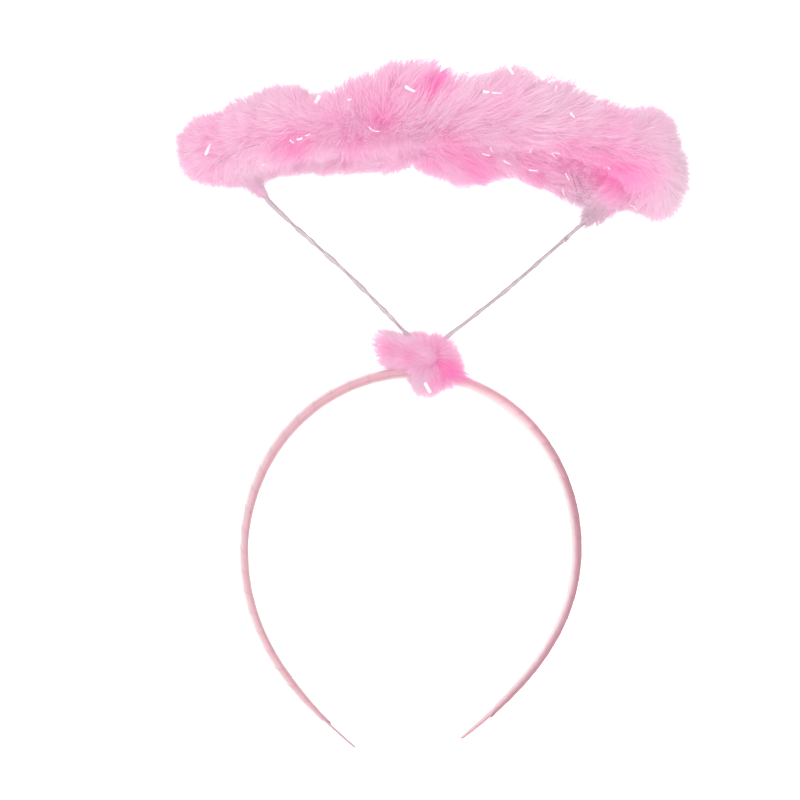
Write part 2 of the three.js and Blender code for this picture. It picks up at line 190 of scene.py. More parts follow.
# %% Floor and wall in one sweep
def link(name, mesh):
    made = bpy.data.objects.new(name, mesh)
    bpy.context.scene.collection.objects.link(made)
    return made


def mesh_of(name, points, faces, smooth=True):
    mesh = bpy.data.meshes.new(name)
    mesh.from_pydata([tuple(p) for p in points], [], [tuple(f) for f in faces])
    mesh.polygons.foreach_set("use_smooth", [smooth] * len(mesh.polygons))
    mesh.update()
    return mesh


def grid_faces(rows, columns, around=False):
    """Faces between rows of points, closed across the columns if they go around."""
    reach = columns if around else columns - 1
    return [(i * columns + j, i * columns + (j + 1) % columns,
             (i + 1) * columns + (j + 1) % columns, (i + 1) * columns + j)
            for i in range(rows - 1) for j in range(reach)]


FLOOR_DOWN = 0.5
FLOOR_REACH = 3.0
SWEEP = 1.2
GLOW_HEIGHT = 0.08  # over the floor the paper's own glow comes up to its full strength in this
PAPER_GLOW, SKY_LIGHT = 0.75, 0.42
profile = [(-FLOOR_REACH, -FLOOR_DOWN)]
for step in range(13):
    turn = math.radians(90 * step / 12)
    profile.append((SWEEP * math.sin(turn), SWEEP * (1 - math.cos(turn)) - FLOOR_DOWN))
profile.append((SWEEP, FLOOR_REACH))
sweep_points = [(x, y, z) for y, z in profile for x in (-FLOOR_REACH, FLOOR_REACH)]
backdrop = link("backdrop", mesh_of("backdrop", sweep_points, grid_faces(len(profile), 2)))
paper = bpy.data.materials.new("white paper")
paper.use_nodes = True
paper_shader = paper.node_tree.nodes["Principled BSDF"]
paper_shader.inputs["Base Color"].default_value = (0.93, 0.93, 0.93, 1)
paper_shader.inputs["Roughness"].default_value = 0.9
paper_shader.inputs["Emission Strength"].default_value = PAPER_GLOW
tree = Tree(paper.node_tree)
level = tree.axis(tree.object_place(), "Z")
glow = tree.ranged(level, -FLOOR_DOWN, GLOW_HEIGHT - FLOOR_DOWN)
glow_colour = tree.blend(glow, (0, 0, 0), (1, 1, 1))
tree.tree.links.new(glow_colour.socket, paper_shader.inputs["Emission Color"])
backdrop.data.materials.append(paper)

# %% Soft lamps
LAMPS = {  # place and size in metres, and power in watts
    "key": ((-1.1, -0.9, 0.6), 0.8, 7.0),
    "front": ((0.2, -1.3, -0.3), 0.8, 8.5),
    "top": ((-0.1, 0.2, 1.2), 0.9, 6),
}
for name, (place, size, power) in LAMPS.items():
    lamp = bpy.data.lights.new(name, "AREA")
    lamp.size, lamp.energy = size, power
    holder = bpy.data.objects.new(name, lamp)
    holder.location = place
    holder.rotation_mode = "QUATERNION"
    holder.rotation_quaternion = (Vector((0, 0, 0.03)) - Vector(place)).to_track_quat("-Z", "Y")
    bpy.context.scene.collection.objects.link(holder)
sky = bpy.data.worlds.new("tent")
sky.use_nodes = True
sky.node_tree.nodes["Background"].inputs["Color"].default_value = (1, 1, 1, 1)
sky.node_tree.nodes["Background"].inputs["Strength"].default_value = SKY_LIGHT
bpy.context.scene.world = sky


# %% [markdown]
# ## Growing a piece with Geometry Nodes
#
# Ribbon turns, film and down all repeat along a path or a surface, so each is a tree with named
# sizes. A piece is grown by putting the tree on a base mesh or curve as a modifier, with its
# inputs set by their identifiers, and by keeping the evaluated result as a plain mesh.


# %% Make a tree, and grow a piece with it
def geometry_tree(name, sizes):
    """A tree with a geometry input and one named input for each size."""
    group = bpy.data.node_groups.new(name, "GeometryNodeTree")
    face = group.interface
    face.new_socket("Geometry", in_out="INPUT", socket_type="NodeSocketGeometry")
    for size, value in sizes.items():
        kind = {float: "NodeSocketFloat", int: "NodeSocketInt"}[type(value)]
        face.new_socket(size, in_out="INPUT", socket_type=kind).default_value = value
    face.new_socket("Geometry", in_out="OUTPUT", socket_type="NodeSocketGeometry")
    tree = Tree(group)
    entry = tree.node("NodeGroupInput")
    return tree, {s.name: Wire(tree, s) for s in entry.socket.node.outputs if s.name}


def close_tree(tree, geometry, material):
    smooth = tree.node("GeometryNodeSetShadeSmooth", None, {"Geometry": geometry})
    whole = tree.node("GeometryNodeRealizeInstances", None, {"Geometry": smooth})
    painted = tree.node("GeometryNodeSetMaterial", None, {"Geometry": whole, "Material": material})
    end = tree.tree.nodes.new("NodeGroupOutput")
    tree.tree.links.new(painted.socket, end.inputs[0])


def grow(name, base, tree, sizes):
    """A plain mesh object of what the tree makes on the base data with these sizes."""
    piece = link(name, base)
    growth = piece.modifiers.new("growth", "NODES")
    growth.node_group = tree.tree
    for item in tree.tree.interface.items_tree:
        if item.item_type == "SOCKET" and item.in_out == "INPUT" and item.name in sizes:
            growth[item.identifier] = sizes[item.name]
    ready = bpy.context.evaluated_depsgraph_get()
    result = bpy.data.meshes.new_from_object(piece.evaluated_get(ready), depsgraph=ready,
                                             preserve_all_data_layers=True)
    bpy.data.objects.remove(piece)
    result.name = name
    made = link(name, result)
    faces = sum(len(p.vertices) - 2 for p in result.polygons)
    print(name, faces, "triangles")
    return made

# %% [markdown]
# ## The plastic band
#
# The band is one strip of pink plastic, moulded flat and bent into an open arch. Only its tips
# show, where the ribbon ends: they are smooth, rounded at the edges and drawn to a blunt point.
# Its middle line is an ellipse over the crown with a curved arm at each side, so it is worked out
# from those sizes as a fine line, and the strip is skinned from sections set along it.

# %% The arch's middle line
WIDEST_DOWN, TIP_DROP, TIP_OUT = 65.5 * MM, 73.5 * MM, 20.5 * MM
ARCH_HALF, ARCH_RISE = 64.45 * MM, 67.35 * MM
ARM_CURL = 0.427
ARMS = [  # side, and the tip's place out and down as shares, with its slope in degrees
    (-1, 1.08, 1.016, 40.6),
    (1, 0.92, 0.984, 37.3),
]


def arm_line(side, out, drop, slope, steps=60):
    tip = np.array([side * TIP_OUT * out, -WIDEST_DOWN - TIP_DROP * drop])
    slope = math.radians(slope)
    lead = tip + TIP_DROP * ARM_CURL * np.array([side * math.cos(slope), math.sin(slope)])
    hip = np.array([side * ARCH_HALF, -WIDEST_DOWN - TIP_DROP * ARM_CURL])
    top = np.array([side * ARCH_HALF, -WIDEST_DOWN])
    t = np.linspace(0, 1, steps)[:, None]
    return ((1 - t) ** 3 * tip + 3 * (1 - t) ** 2 * t * lead + 3 * (1 - t) * t ** 2 * hip
            + t ** 3 * top)


over = np.linspace(math.pi, 0, 140)[1:-1]
crown_line = np.stack([ARCH_HALF * np.cos(over), -WIDEST_DOWN + ARCH_RISE * np.sin(over)], 1)
arch_line = np.concatenate([arm_line(*ARMS[0]), crown_line, arm_line(*ARMS[1])[::-1]])
arch_steps = np.concatenate([[0], np.cumsum(np.hypot(*np.diff(arch_line, axis=0).T))])
arch_length = arch_steps[-1]


def on_arch(along):
    """Places on the middle line and the directions away from the head, for distances along it."""
    along = np.asarray(along)
    x, z = (np.interp(along, arch_steps, arch_line[:, i]) for i in (0, 1))
    ahead, behind = along + 0.5 * MM, along - 0.5 * MM
    dx, dz = (np.interp(ahead, arch_steps, arch_line[:, i])
              - np.interp(behind, arch_steps, arch_line[:, i]) for i in (0, 1))
    length = np.hypot(dx, dz)
    return np.stack([x, 0 * x, z], -1), np.stack([-dz / length, 0 * x, dx / length], -1)


print("the arch is", round(arch_length / MM), "mm long")

# %% The strip
STRIP_WIDE, STRIP_THICK = 5.4 * MM, 1.0 * MM
BARE_TIP, POINT_LENGTH = 17 * MM, 11 * MM
POINT_WIDE, POINT_THICK = 1.2 * MM, 0.7 * MM
STRIP_SIDES = 24


def strip_mesh():
    wound = np.linspace(BARE_TIP, 0.5 * arch_length, 60)
    half = np.concatenate([np.linspace(0, BARE_TIP, 26), wound[1:]])
    stations = np.concatenate([half, arch_length - half[-2::-1]])
    turn = np.linspace(0, 2 * math.pi, STRIP_SIDES, endpoint=False)
    round_off = 0.35  # 1 gives an oval and 0 a rectangle
    across = np.sign(np.cos(turn)) * abs(np.cos(turn)) ** round_off
    thick = np.sign(np.sin(turn)) * abs(np.sin(turn)) ** round_off
    place, out = on_arch(stations)
    full = np.sqrt(np.clip(np.minimum(stations, arch_length - stations) / POINT_LENGTH, 0, 1))
    wide = POINT_WIDE + (STRIP_WIDE - POINT_WIDE) * full
    deep = POINT_THICK + (STRIP_THICK - POINT_THICK) * full
    rings = (place[:, None] + out[:, None] * (thick[None, :, None] * deep[:, None, None] / 2)
             + np.array([0, 1, 0]) * (across[None, :, None] * wide[:, None, None] / 2))
    faces = grid_faces(len(stations), STRIP_SIDES, around=True)
    last = (len(stations) - 1) * STRIP_SIDES
    faces += [tuple(range(STRIP_SIDES))[::-1], tuple(range(last, last + STRIP_SIDES))]
    return mesh_of("band_strip", rings.reshape(-1, 3), [f[::-1] for f in faces])


band_strip = link("band_strip", strip_mesh())
print("band strip", len(band_strip.data.polygons), "faces")

# %% [markdown]
# ## The ribbon
#
# Satin ribbon is wound round the strip in one long slanting spiral, and each turn lies over the
# edge of the next. That is a rule along a path, so a flat grid is wound up by Geometry Nodes: its
# length becomes the spiral, its width the ribbon's own width, and the covered edge lies lower
# than the free one. The wire's tails lie under it at the crown, so it is thicker there.

# %% How thick the winding is along the arch
WALL = 1.36 * MM
WALL_ALONG = [0.0, 0.05, 0.09, 0.23, 0.243, 0.25, 0.33, 0.4, 0.6, 0.68, 0.78, 0.91, 0.95, 1.0]
WALL_SHARE = [0.12, 0.34, 0.68, 0.62, 0.50, 0.62, 0.86, 1.0, 1.0, 0.78, 0.56, 0.38, 0.20, 0.12]
RIBBON_WIDE = 10.4 * MM
RIBBON_PITCH = 7.8 * MM
RIBBON_GAP = 0.2 * MM
LAP = 0.12 * MM  # between the free edge and the covered one
CREASE, CLOTH = 0.10 * MM, 0.06 * MM
turns = round((arch_length - 2 * BARE_TIP) / RIBBON_PITCH)
line_steps = np.linspace(0, arch_length, 400)
line_points, _ = on_arch(line_steps)
arch_mesh = bpy.data.meshes.new("arch line")
arch_mesh.from_pydata([tuple(p) for p in line_points], [(i, i + 1) for i in range(399)], [])
wall = arch_mesh.attributes.new("wall", "FLOAT", "POINT")
wall.data.foreach_set("value", np.interp(line_steps / arch_length, WALL_ALONG, WALL_SHARE) * WALL)
print(turns, "turns of ribbon")


# %% The tree that winds the ribbon
def ribbon_tree(material):
    tree, size = geometry_tree("wound ribbon", {
        "Turns": 31, "Steps": 1500, "Start": 0.017, "Pitch": 0.0078, "Width": 0.0104,
        "Half Width": 0.0029, "Half Thickness": 0.0007, "Lap": 0.0004, "Crease": 0.0001})
    path = tree.node("GeometryNodeMeshToCurve", None, {"Mesh": size["Geometry"]})
    flat = tree.node("GeometryNodeMeshGrid", None, {
        "Size X": 1.0, "Size Y": 1.0, "Vertices X": size["Steps"], "Vertices Y": 7})
    place = tree.node("GeometryNodeInputPosition")
    u = tree.axis(place, "X") + 0.5
    w = tree.axis(place, "Y")
    v = 0.5 + tree.function("SIGN", w) * 0.5 * (1.0 - (1.0 - tree.function("ABSOLUTE", w) * 2.0) ** 3.0)
    flat = tree.store(flat, "lengthwise", u * size["Turns"])
    flat = tree.store(flat, "crosswise", v)
    spin = u * size["Turns"] * math.tau
    along = (size["Start"] + u * size["Turns"] * size["Pitch"]
             + (v - 0.5) * size["Width"])
    sample = {"mode": "LENGTH", "data_type": "FLOAT"}
    height = tree.node("GeometryNodeSampleCurve", sample, {
        "Curves": path, "Length": along, "Value": tree.read("wall")})
    middle, run = tree.other(height, "Position"), tree.other(height, "Tangent")
    inward = tree.vector("CROSS_PRODUCT", (0.0, 1.0, 0.0), run)  # toward the head
    crease = tree.flat_noise(u * size["Turns"] * 1.7, v * 2.2) - 0.5
    lift = height + (v - 0.5) * size["Lap"] + crease * size["Crease"]
    across = tree.function("COSINE", spin)
    over = tree.function("SINE", spin)
    square = 0.7  # 1 gives an oval winding, and less a squarer one
    across = tree.function("SIGN", across) * tree.function("ABSOLUTE", across) ** square
    over = tree.function("SIGN", over) * tree.function("ABSOLUTE", over) ** square
    point = (middle + (0.0, 1.0, 0.0) * (across * (size["Half Width"] + lift))
             + inward * (over * (size["Half Thickness"] + lift)))
    flat = tree.store(flat, "outside", 0.0 - over)
    wound = tree.node("GeometryNodeSetPosition", None, {"Geometry": flat, "Position": point})
    close_tree(tree, wound, material)
    return tree


# %% [markdown]
# ## What the plastic, the satin and the film look like
#
# A finish is one Principled shader whose colour, roughness and bump change over the piece. The
# plastic is plain with a faint mottle. Satin shines across its threads, and on this satin its
# shine and shade are painted into the colour: a pale painted highlight with a band of painted
# shade beside it follows the winding, on its outer side along the first half of the arch and on
# its inner side along the second, and the right arm is painted a deeper pink as shade. The colour
# also deepens beside the edge of the next turn as painted shade in the step, and fine threads run
# along it. The clear film is wound tightly enough to look greyish pink, with darker lines where
# it is folded.

# %% Materials for the hard pieces
def finish(name, **fixed):
    """A material, its tree and its shader, with some sockets set to fixed values."""
    made = bpy.data.materials.new(name)
    made.use_nodes = True
    shader = made.node_tree.nodes["Principled BSDF"]
    for socket, value in fixed.items():
        shader.inputs[socket.replace("_", " ")].default_value = value
    return made, Tree(made.node_tree), shader


def feed(tree, shader, **wires):
    for socket, wire in wires.items():
        tree.tree.links.new(wire.socket, shader.inputs[socket.replace("_", " ")])


def bump(tree, height, distance, strength=1.0):
    return tree.node("ShaderNodeBump", None,
                     {"Height": height, "Distance": distance, "Strength": strength})


def carried(tree, name):
    return tree.node("ShaderNodeAttribute", {"attribute_name": name}, None, "Fac")


def noise(tree, vector, scale, detail=2.0, rough=0.5):
    return tree.node("ShaderNodeTexNoise", None, {
        "Vector": vector, "Scale": scale, "Detail": detail, "Roughness": rough})


plastic, tree, shader = finish("pink plastic", Coat_Weight=0.25, Coat_Roughness=0.2)
place = tree.object_place()
low = tree.axis(place, "Z")
bare = tree.ranged(low, -0.141, -0.128, 1.0, 0.0)
mottle = noise(tree, place, 220.0)
rose = tree.blend(mottle, (0.62, 0.29, 0.35), (0.72, 0.38, 0.44))
feed(tree, shader, Base_Color=tree.blend(bare * 0.5, rose, (0.58, 0.44, 0.41)),
     Roughness=mottle * 0.2 + 0.26, Normal=bump(tree, noise(tree, place, 900.0), 0.00005))

satin, tree, shader = finish("pink satin", Sheen_Weight=0.25, Sheen_Roughness=0.4)
shader.inputs["Sheen Tint"].default_value = (1, 0.86, 0.9, 1)
lengthwise, crosswise = carried(tree, "lengthwise"), carried(tree, "crosswise")
flat = tree.joined(X=lengthwise, Y=crosswise)
threads = noise(tree, flat * (3.0, 160.0, 1.0), 1.0, 1.0)
cloud = noise(tree, flat * (4.0, 1.6, 1.0), 1.0)
# painted shade: the colour deepens just past the free edge of the turn before, where the step casts shade
edge = tree.ranged(crosswise, 0.2, 0.42, 1.0, 0.0)
# painted highlight and shade: pale and dark bands across the winding, laid by the side toward the lamp,
# which is the outer side along the first half of the arch and the inner side along the second
second = tree.function("GREATER_THAN", lengthwise, turns / 2)
outside = carried(tree, "outside")
# painted shade: the right arm, which faces away from the lamp, is darker
arm = tree.ranged(lengthwise, turns * 0.62, turns * 0.72)
stripe = outside * (1.0 - second * 2.0) + (noise(tree, flat * (0.3, 0.1, 1.0), 1.0) - 0.5) * 0.6
painted_light_bands = tree.node("ShaderNodeValToRGB", {"stops": [
    (0.0, (0.90, 0.77, 0.80)), (0.14, (0.84, 0.62, 0.66)), (0.30, (0.68, 0.32, 0.38)),
    (0.50, (0.73, 0.39, 0.44)), (0.76, (0.82, 0.54, 0.58)), (1.0, (0.88, 0.72, 0.75))]},
    {0: stripe * 0.5 + 0.5}, "Color") * (1.0 + second * 0.12 - arm * 0.22)
# more painted shade on the right arm, deepest across the middle of the stripe
middle = tree.function("MAXIMUM", 1.0 - tree.function("ABSOLUTE", stripe), 0.0)
painted_light_bands = tree.blend(arm * middle * 0.75, painted_light_bands, (0.40, 0.11, 0.17))
streaks = noise(tree, tree.joined(X=lengthwise * 0.12, Y=outside * 3.0), 1.0, 1.0)
streaks = tree.ranged(streaks, 0.5, 0.7)
painted_light_bands = tree.blend(streaks * 0.4, painted_light_bands, (0.46, 0.19, 0.25))
pale = tree.blend(cloud * 0.3, painted_light_bands, (0.70, 0.45, 0.50))
feed(tree, shader, Base_Color=tree.blend(edge * 0.15, pale, (0.48, 0.21, 0.27)),
     Roughness=cloud * 0.24 + 0.24, Normal=bump(tree, threads + cloud * 2.0, 0.00006, 0.8))

film, tree, shader = finish("clear pink film", Coat_Weight=0.6, Coat_Roughness=0.08)
place = tree.object_place()
fold = carried(tree, "fold")
grain = noise(tree, place, 420.0)
greyish = tree.blend(grain, (0.52, 0.43, 0.47), (0.66, 0.59, 0.62))
feed(tree, shader, Base_Color=tree.blend(fold * 0.55, greyish, (0.33, 0.23, 0.27)),
     Roughness=grain * 0.25 + 0.12, Normal=bump(tree, grain, 0.0002, 0.7))

steel, tree, shader = finish("wire", Metallic=0.8)
place = tree.object_place()
wear_and_shade = noise(tree, place, 300.0)
feed(tree, shader, Base_Color=tree.blend(wear_and_shade, (0.5, 0.42, 0.46), (0.75, 0.66, 0.7)),
     Roughness=wear_and_shade * 0.3 + 0.25)
print("hard finishes:", [m.name for m in (plastic, satin, film, steel)])

# %% Wind the ribbon
band_strip.data.materials.append(plastic)
ribbon = grow("satin_ribbon", arch_mesh, ribbon_tree(satin), {
    "Turns": turns, "Steps": turns * 40 + 1, "Start": BARE_TIP, "Width": RIBBON_WIDE,
    "Pitch": (arch_length - 2 * BARE_TIP) / turns, "Lap": LAP, "Crease": CREASE,
    "Half Width": STRIP_WIDE / 2 + RIBBON_GAP, "Half Thickness": STRIP_THICK / 2 + RIBBON_GAP})
cloth = ribbon.modifiers.new("thickness", "SOLIDIFY")
cloth.thickness, cloth.offset = CLOTH, -1

# %% [markdown]
# ## The wire and its film
#
# One steel wire makes the ring and both legs. The ring dips at its ends like a saddle. Each leg
# leaves the ring inside the down, runs straight to the crown, crosses the other one there, bends
# and lies flat along the band under the tuft. Clear film is wrapped round both legs and twisted,
# so its folded edge winds along them and pinches here and there. It thickens toward the ring on
# the left leg and toward the crown on the right one. A path with a profile swept along it gives
# all of this, with the path's tilt as the twist and its radius as the pinches.

# %% The ring and the legs as paths
HALO_RADIUS, HALO_UP, HALO_ASIDE = 81.5 * MM, 89 * MM, 9.5 * MM
HALO_SADDLE, HALO_TILT = 5.9 * MM, 0.042
RING_WIRE, LEG_WIDE, LEG_THICK = 1.5 * MM, 1.9 * MM, 1.15 * MM
LEG_GAP, LEG_FOOT, FOOT_SPREAD = 2.6 * MM, 5.3 * MM, 4.2 * MM
FOOT_BEND, TAIL_LENGTH, CROWN_TOP = 3 * MM, 8 * MM, 3.7 * MM
LEGS = {  # side, depth, then the neck inward and under the ring's end and the sag, as shares
    "left": (-1, -1, 0.205, 0.243, -0.010),
    "right": (1, 1, 0.322, 0.267, 0.008),
}


def ring_place(turn):
    """Place on the wire ring, and the directions away from its middle and along it."""
    turn = np.asarray(turn, float)
    out = np.stack([np.cos(turn), np.sin(turn), 0 * turn], -1)
    aside = HALO_RADIUS * out[..., 0]
    up = HALO_UP - HALO_TILT * aside - HALO_SADDLE * np.cos(2 * turn)
    place = np.stack([HALO_ASIDE + aside, HALO_RADIUS * out[..., 1], up], -1)
    return place, out, np.stack([-out[..., 1], out[..., 0], 0 * turn], -1)


def smooth_path(knots, steps=30):
    """A centripetal Catmull-Rom curve through the knots."""
    knots = np.array([2 * knots[0] - knots[1], *knots, 2 * knots[-1] - knots[-2]])
    path = []
    for a, b, c, d in zip(knots, knots[1:], knots[2:], knots[3:]):
        ab, bc, cd = (np.linalg.norm(q - p) ** 0.5 for p, q in ((a, b), (b, c), (c, d)))
        leave = ((b - a) / ab - (c - a) / (ab + bc) + (c - b) / bc) * bc
        arrive = ((c - b) / bc - (d - b) / (bc + cd) + (d - c) / cd) * bc
        t = np.linspace(0, 1, steps, endpoint=False)[:, None]
        path.append((2 * t ** 3 - 3 * t ** 2 + 1) * b + (t ** 3 - 2 * t ** 2 + t) * leave
                    + (3 * t ** 2 - 2 * t ** 3) * c + (t ** 3 - t ** 2) * arrive)
    return np.concatenate([*path, knots[-2:-1]])


def leg_path(side, depth, inward, under, sag):
    def on_crown(x):
        return np.array([x, depth * LEG_GAP / 2, CROWN_TOP + 1.55 * MM - 0.5 * x * x / ARCH_HALF])
    foot_x = LEG_FOOT - side * FOOT_SPREAD
    foot = on_crown(foot_x)
    bend = foot + [side * FOOT_BEND, 0, FOOT_BEND]
    top = ring_place(0 if side > 0 else math.pi)[0]
    neck = top - [side * inward * HALO_RADIUS, 0, under * HALO_RADIUS]
    bow = sag * HALO_RADIUS
    middle = (bend + neck) / 2 + [side * bow, 0, -bow]
    tail = [on_crown(foot_x - side * TAIL_LENGTH), on_crown(foot_x - side * TAIL_LENGTH / 2)]
    return smooth_path([*tail, foot, bend, middle, neck, top])


def path_mesh(name, points, loop=False):
    mesh = bpy.data.meshes.new(name)
    count = len(points)
    edges = [(i, (i + 1) % count) for i in range(count if loop else count - 1)]
    mesh.from_pydata([tuple(p) for p in points], edges, [])
    return mesh


leg_lines = {name: leg_path(*row) for name, row in LEGS.items()}
for name, line in leg_lines.items():
    print(name, "leg", round(np.linalg.norm(np.diff(line, axis=0), axis=1).sum() / MM), "mm")


# %% The tree that wraps a path in twisted film
def film_tree(material):
    tree, size = geometry_tree("twisted film", {
        "Wide": 0.0019, "Thick": 0.0011, "Twist": 0.024, "Step": 0.0005, "Pinch": 0.3, "Widen": 0.0,
        "Seed": 1.0})
    path = tree.node("GeometryNodeMeshToCurve", None, {"Mesh": size["Geometry"]})
    path = tree.node("GeometryNodeResampleCurve", {"mode": "LENGTH"},
                     {"Curve": path, "Length": size["Step"]})
    gone = tree.node("GeometryNodeSplineParameter", None, None, "Length")
    share = tree.other(gone, "Factor")
    waver = tree.flat_noise(gone * 130.0, size["Seed"])
    turn = gone / size["Twist"] * math.tau + waver * 5.0
    path = tree.node("GeometryNodeSetCurveTilt", None, {"Curve": path, "Tilt": turn})
    swell = tree.flat_noise(gone * 75.0, size["Seed"] + 9.0, 1.0)
    path = tree.node("GeometryNodeSetCurveRadius", None, {
        "Curve": path, "Radius": ((swell - 0.5) * size["Pinch"] * 4.0 + 1.0)
        * (1.0 + size["Widen"] * (share - 0.5))})
    ring = tree.node("GeometryNodeCurvePrimitiveCircle", None, {"Resolution": 16, "Radius": 1.0})
    place = tree.node("GeometryNodeInputPosition")
    x = tree.axis(place, "X")
    y = tree.axis(place, "Y")
    lens_shape = tree.joined(X=x * size["Wide"] * 0.5,
                             Y=y * (1.0 - x * x * 0.55) * size["Thick"] * 0.5)
    ring = tree.store(ring, "fold", tree.function("ABSOLUTE", x) ** 6.0)
    ring = tree.node("GeometryNodeSetPosition", None, {"Geometry": ring, "Position": lens_shape})
    tube = tree.node("GeometryNodeCurveToMesh", None, {
        "Curve": path, "Profile Curve": ring, "Fill Caps": True})
    close_tree(tree, tube, material)
    return tree


film_wrap, bare_wire = film_tree(film), film_tree(steel)
leg_left = grow("leg_left", path_mesh("left path", leg_lines["left"]), film_wrap, {
    "Wide": 2.1 * MM, "Thick": 1.4 * MM, "Twist": 28 * MM, "Pinch": 0.2, "Widen": 1.2, "Seed": 3.0})
leg_right = grow("leg_right", path_mesh("right path", leg_lines["right"]), film_wrap, {
    "Wide": 1.9 * MM, "Thick": 1.6 * MM, "Twist": 30 * MM, "Pinch": 0.25, "Widen": -1.0, "Seed": 8.0})
ring_line = ring_place(np.linspace(0, math.tau, 240, endpoint=False))[0]
ring_wire = grow("ring_wire", path_mesh("ring path", ring_line, loop=True), bare_wire, {
    "Wide": RING_WIRE, "Thick": RING_WIRE * 1.6, "Step": 2 * MM, "Pinch": 0.0})

# %% [markdown]
# ## The down of the halo
#
# Marabou trim is a cord with soft barbs growing out of it all round. They lie in locks that share
# a direction, because the trim was wound on in a spiral, and the locks make its bumpy outline. A
# dense body takes the middle, and its surface carries three things for the barbs that grow
# on it: how far they reach, which way they are swept and how deeply they are dyed, with painted
# shade mixed into that colour: deeper pink where the back of the ring lies in the shade of the
# front, and greyish at the lower edges and the right end. These patches of dye and painted shade
# are placed where a barb's tip is seen by the camera, because that is where they show.

# %% How the down lies round the ring
FLUFF = 14 * MM
BODY_SHARE = 0.56  # the dense body's radius as a share of the reach, where barbs are long enough
SHORTEST = 5 * MM  # barbs where the reach is small, so the dense body is thinner there
LEAST_BODY, LEAST_GAP = 1.5 * MM, 2 * MM
SWEPT = 5 * MM  # about how far the flow carries a barb's tip
CUT_RIGHT = 100.9 * MM  # the down at the right ends in a flat face here
LEAST_ASIDE = 0.25  # barbs that point less to the right are cut as if they pointed this much
UPPER_CORNER = 0.48  # the upper corner is drawn in by this share of what the lower one sticks out
LUMPS = [(0.07, 17 * MM, 3), (0.25, 7 * MM, 4)]  # height as a share of the reach, size and seed
# turn in degrees, then the reach up, down and out as shares of FLUFF, how far the lower outer corner
# sticks out, the sweep along the ring and the spin round it
DOWN = np.array([
    (0, 1.24, 1.02, 0.84, 0.98, 0.1, 0.0),
    (15, 0.98, 0.89, 0.94, 0.25, -0.5, 0.0),
    (28, 0.98, 1.08, 0.98, 0.05, -1.0, 0.1),
    (38, 0.95, 1.24, 1.0, 0.0, -1.1, 0.4),
    (49, 0.93, 0.34, 0.92, 0.0, -1.1, 0.5),
    (58, 0.92, 0.02, 0.70, 0.0, -1.1, 0.5),
    (68, 0.95, 0.76, 1.0, 0.0, -1.0, 0.5),
    (76, 0.95, 1.10, 0.95, 0.0, -0.8, 0.3),
    (81, 0.95, 0.80, 0.95, 0.0, -0.5, 0.3),
    (86, 0.95, 0.06, 0.70, 0.0, -0.2, 0.3),
    (91, 0.95, 0.78, 1.0, 0.0, 0.3, 0.4),
    (98, 0.95, 0.72, 1.0, 0.0, 0.6, 0.4),
    (130, 0.95, 0.80, 1.0, 0.0, 0.8, 0.5),
    (160, 0.95, 0.88, 1.30, 0.04, 0.5, 0.2),
    (185, 0.36, 1.00, 1.37, 0.06, 0.0, 0.0),
    (206, 1.03, 0.84, 1.0, 0.03, -0.4, 0.1),
    (222, 1.04, 1.10, 1.0, 0.0, -0.4, 0.2),
    (230, 0.20, 1.22, 0.80, 0.0, -0.3, 0.3),
    (240, 0.80, 1.25, 1.0, 0.0, 0.1, 0.5),
    (254.2, 1.30, 1.18, 1.02, 0.0, 0.6, 0.8),
    (257.4, 0.12, 1.14, 0.92, 0.0, 0.8, 0.9),
    (266, 0.08, 1.1, 0.78, 0.0, 0.9, 0.8),
    (271, 0.45, 1.0, 0.92, 0.0, 0.9, 0.7),
    (275.5, 1.28, 1.0, 1.05, 0.0, 0.9, 0.6),
    (280.5, 0.25, 1.0, 0.92, 0.0, 0.8, 0.5),
    (286, 0.95, 1.0, 1.0, 0.0, 0.8, 0.5),
    (300, 0.05, 1.05, 0.86, 0.0, 0.8, 0.4),
    (308, 0.16, 1.05, 0.9, 0.0, 0.8, 0.3),
    (322, 1.04, 1.08, 0.95, 0.0, 0.9, 0.1),
    (345, 1.74, 0.97, 0.82, 0.98, 1.0, -0.1),
    (360, 1.24, 1.02, 0.84, 0.98, 0.1, 0.0),
])
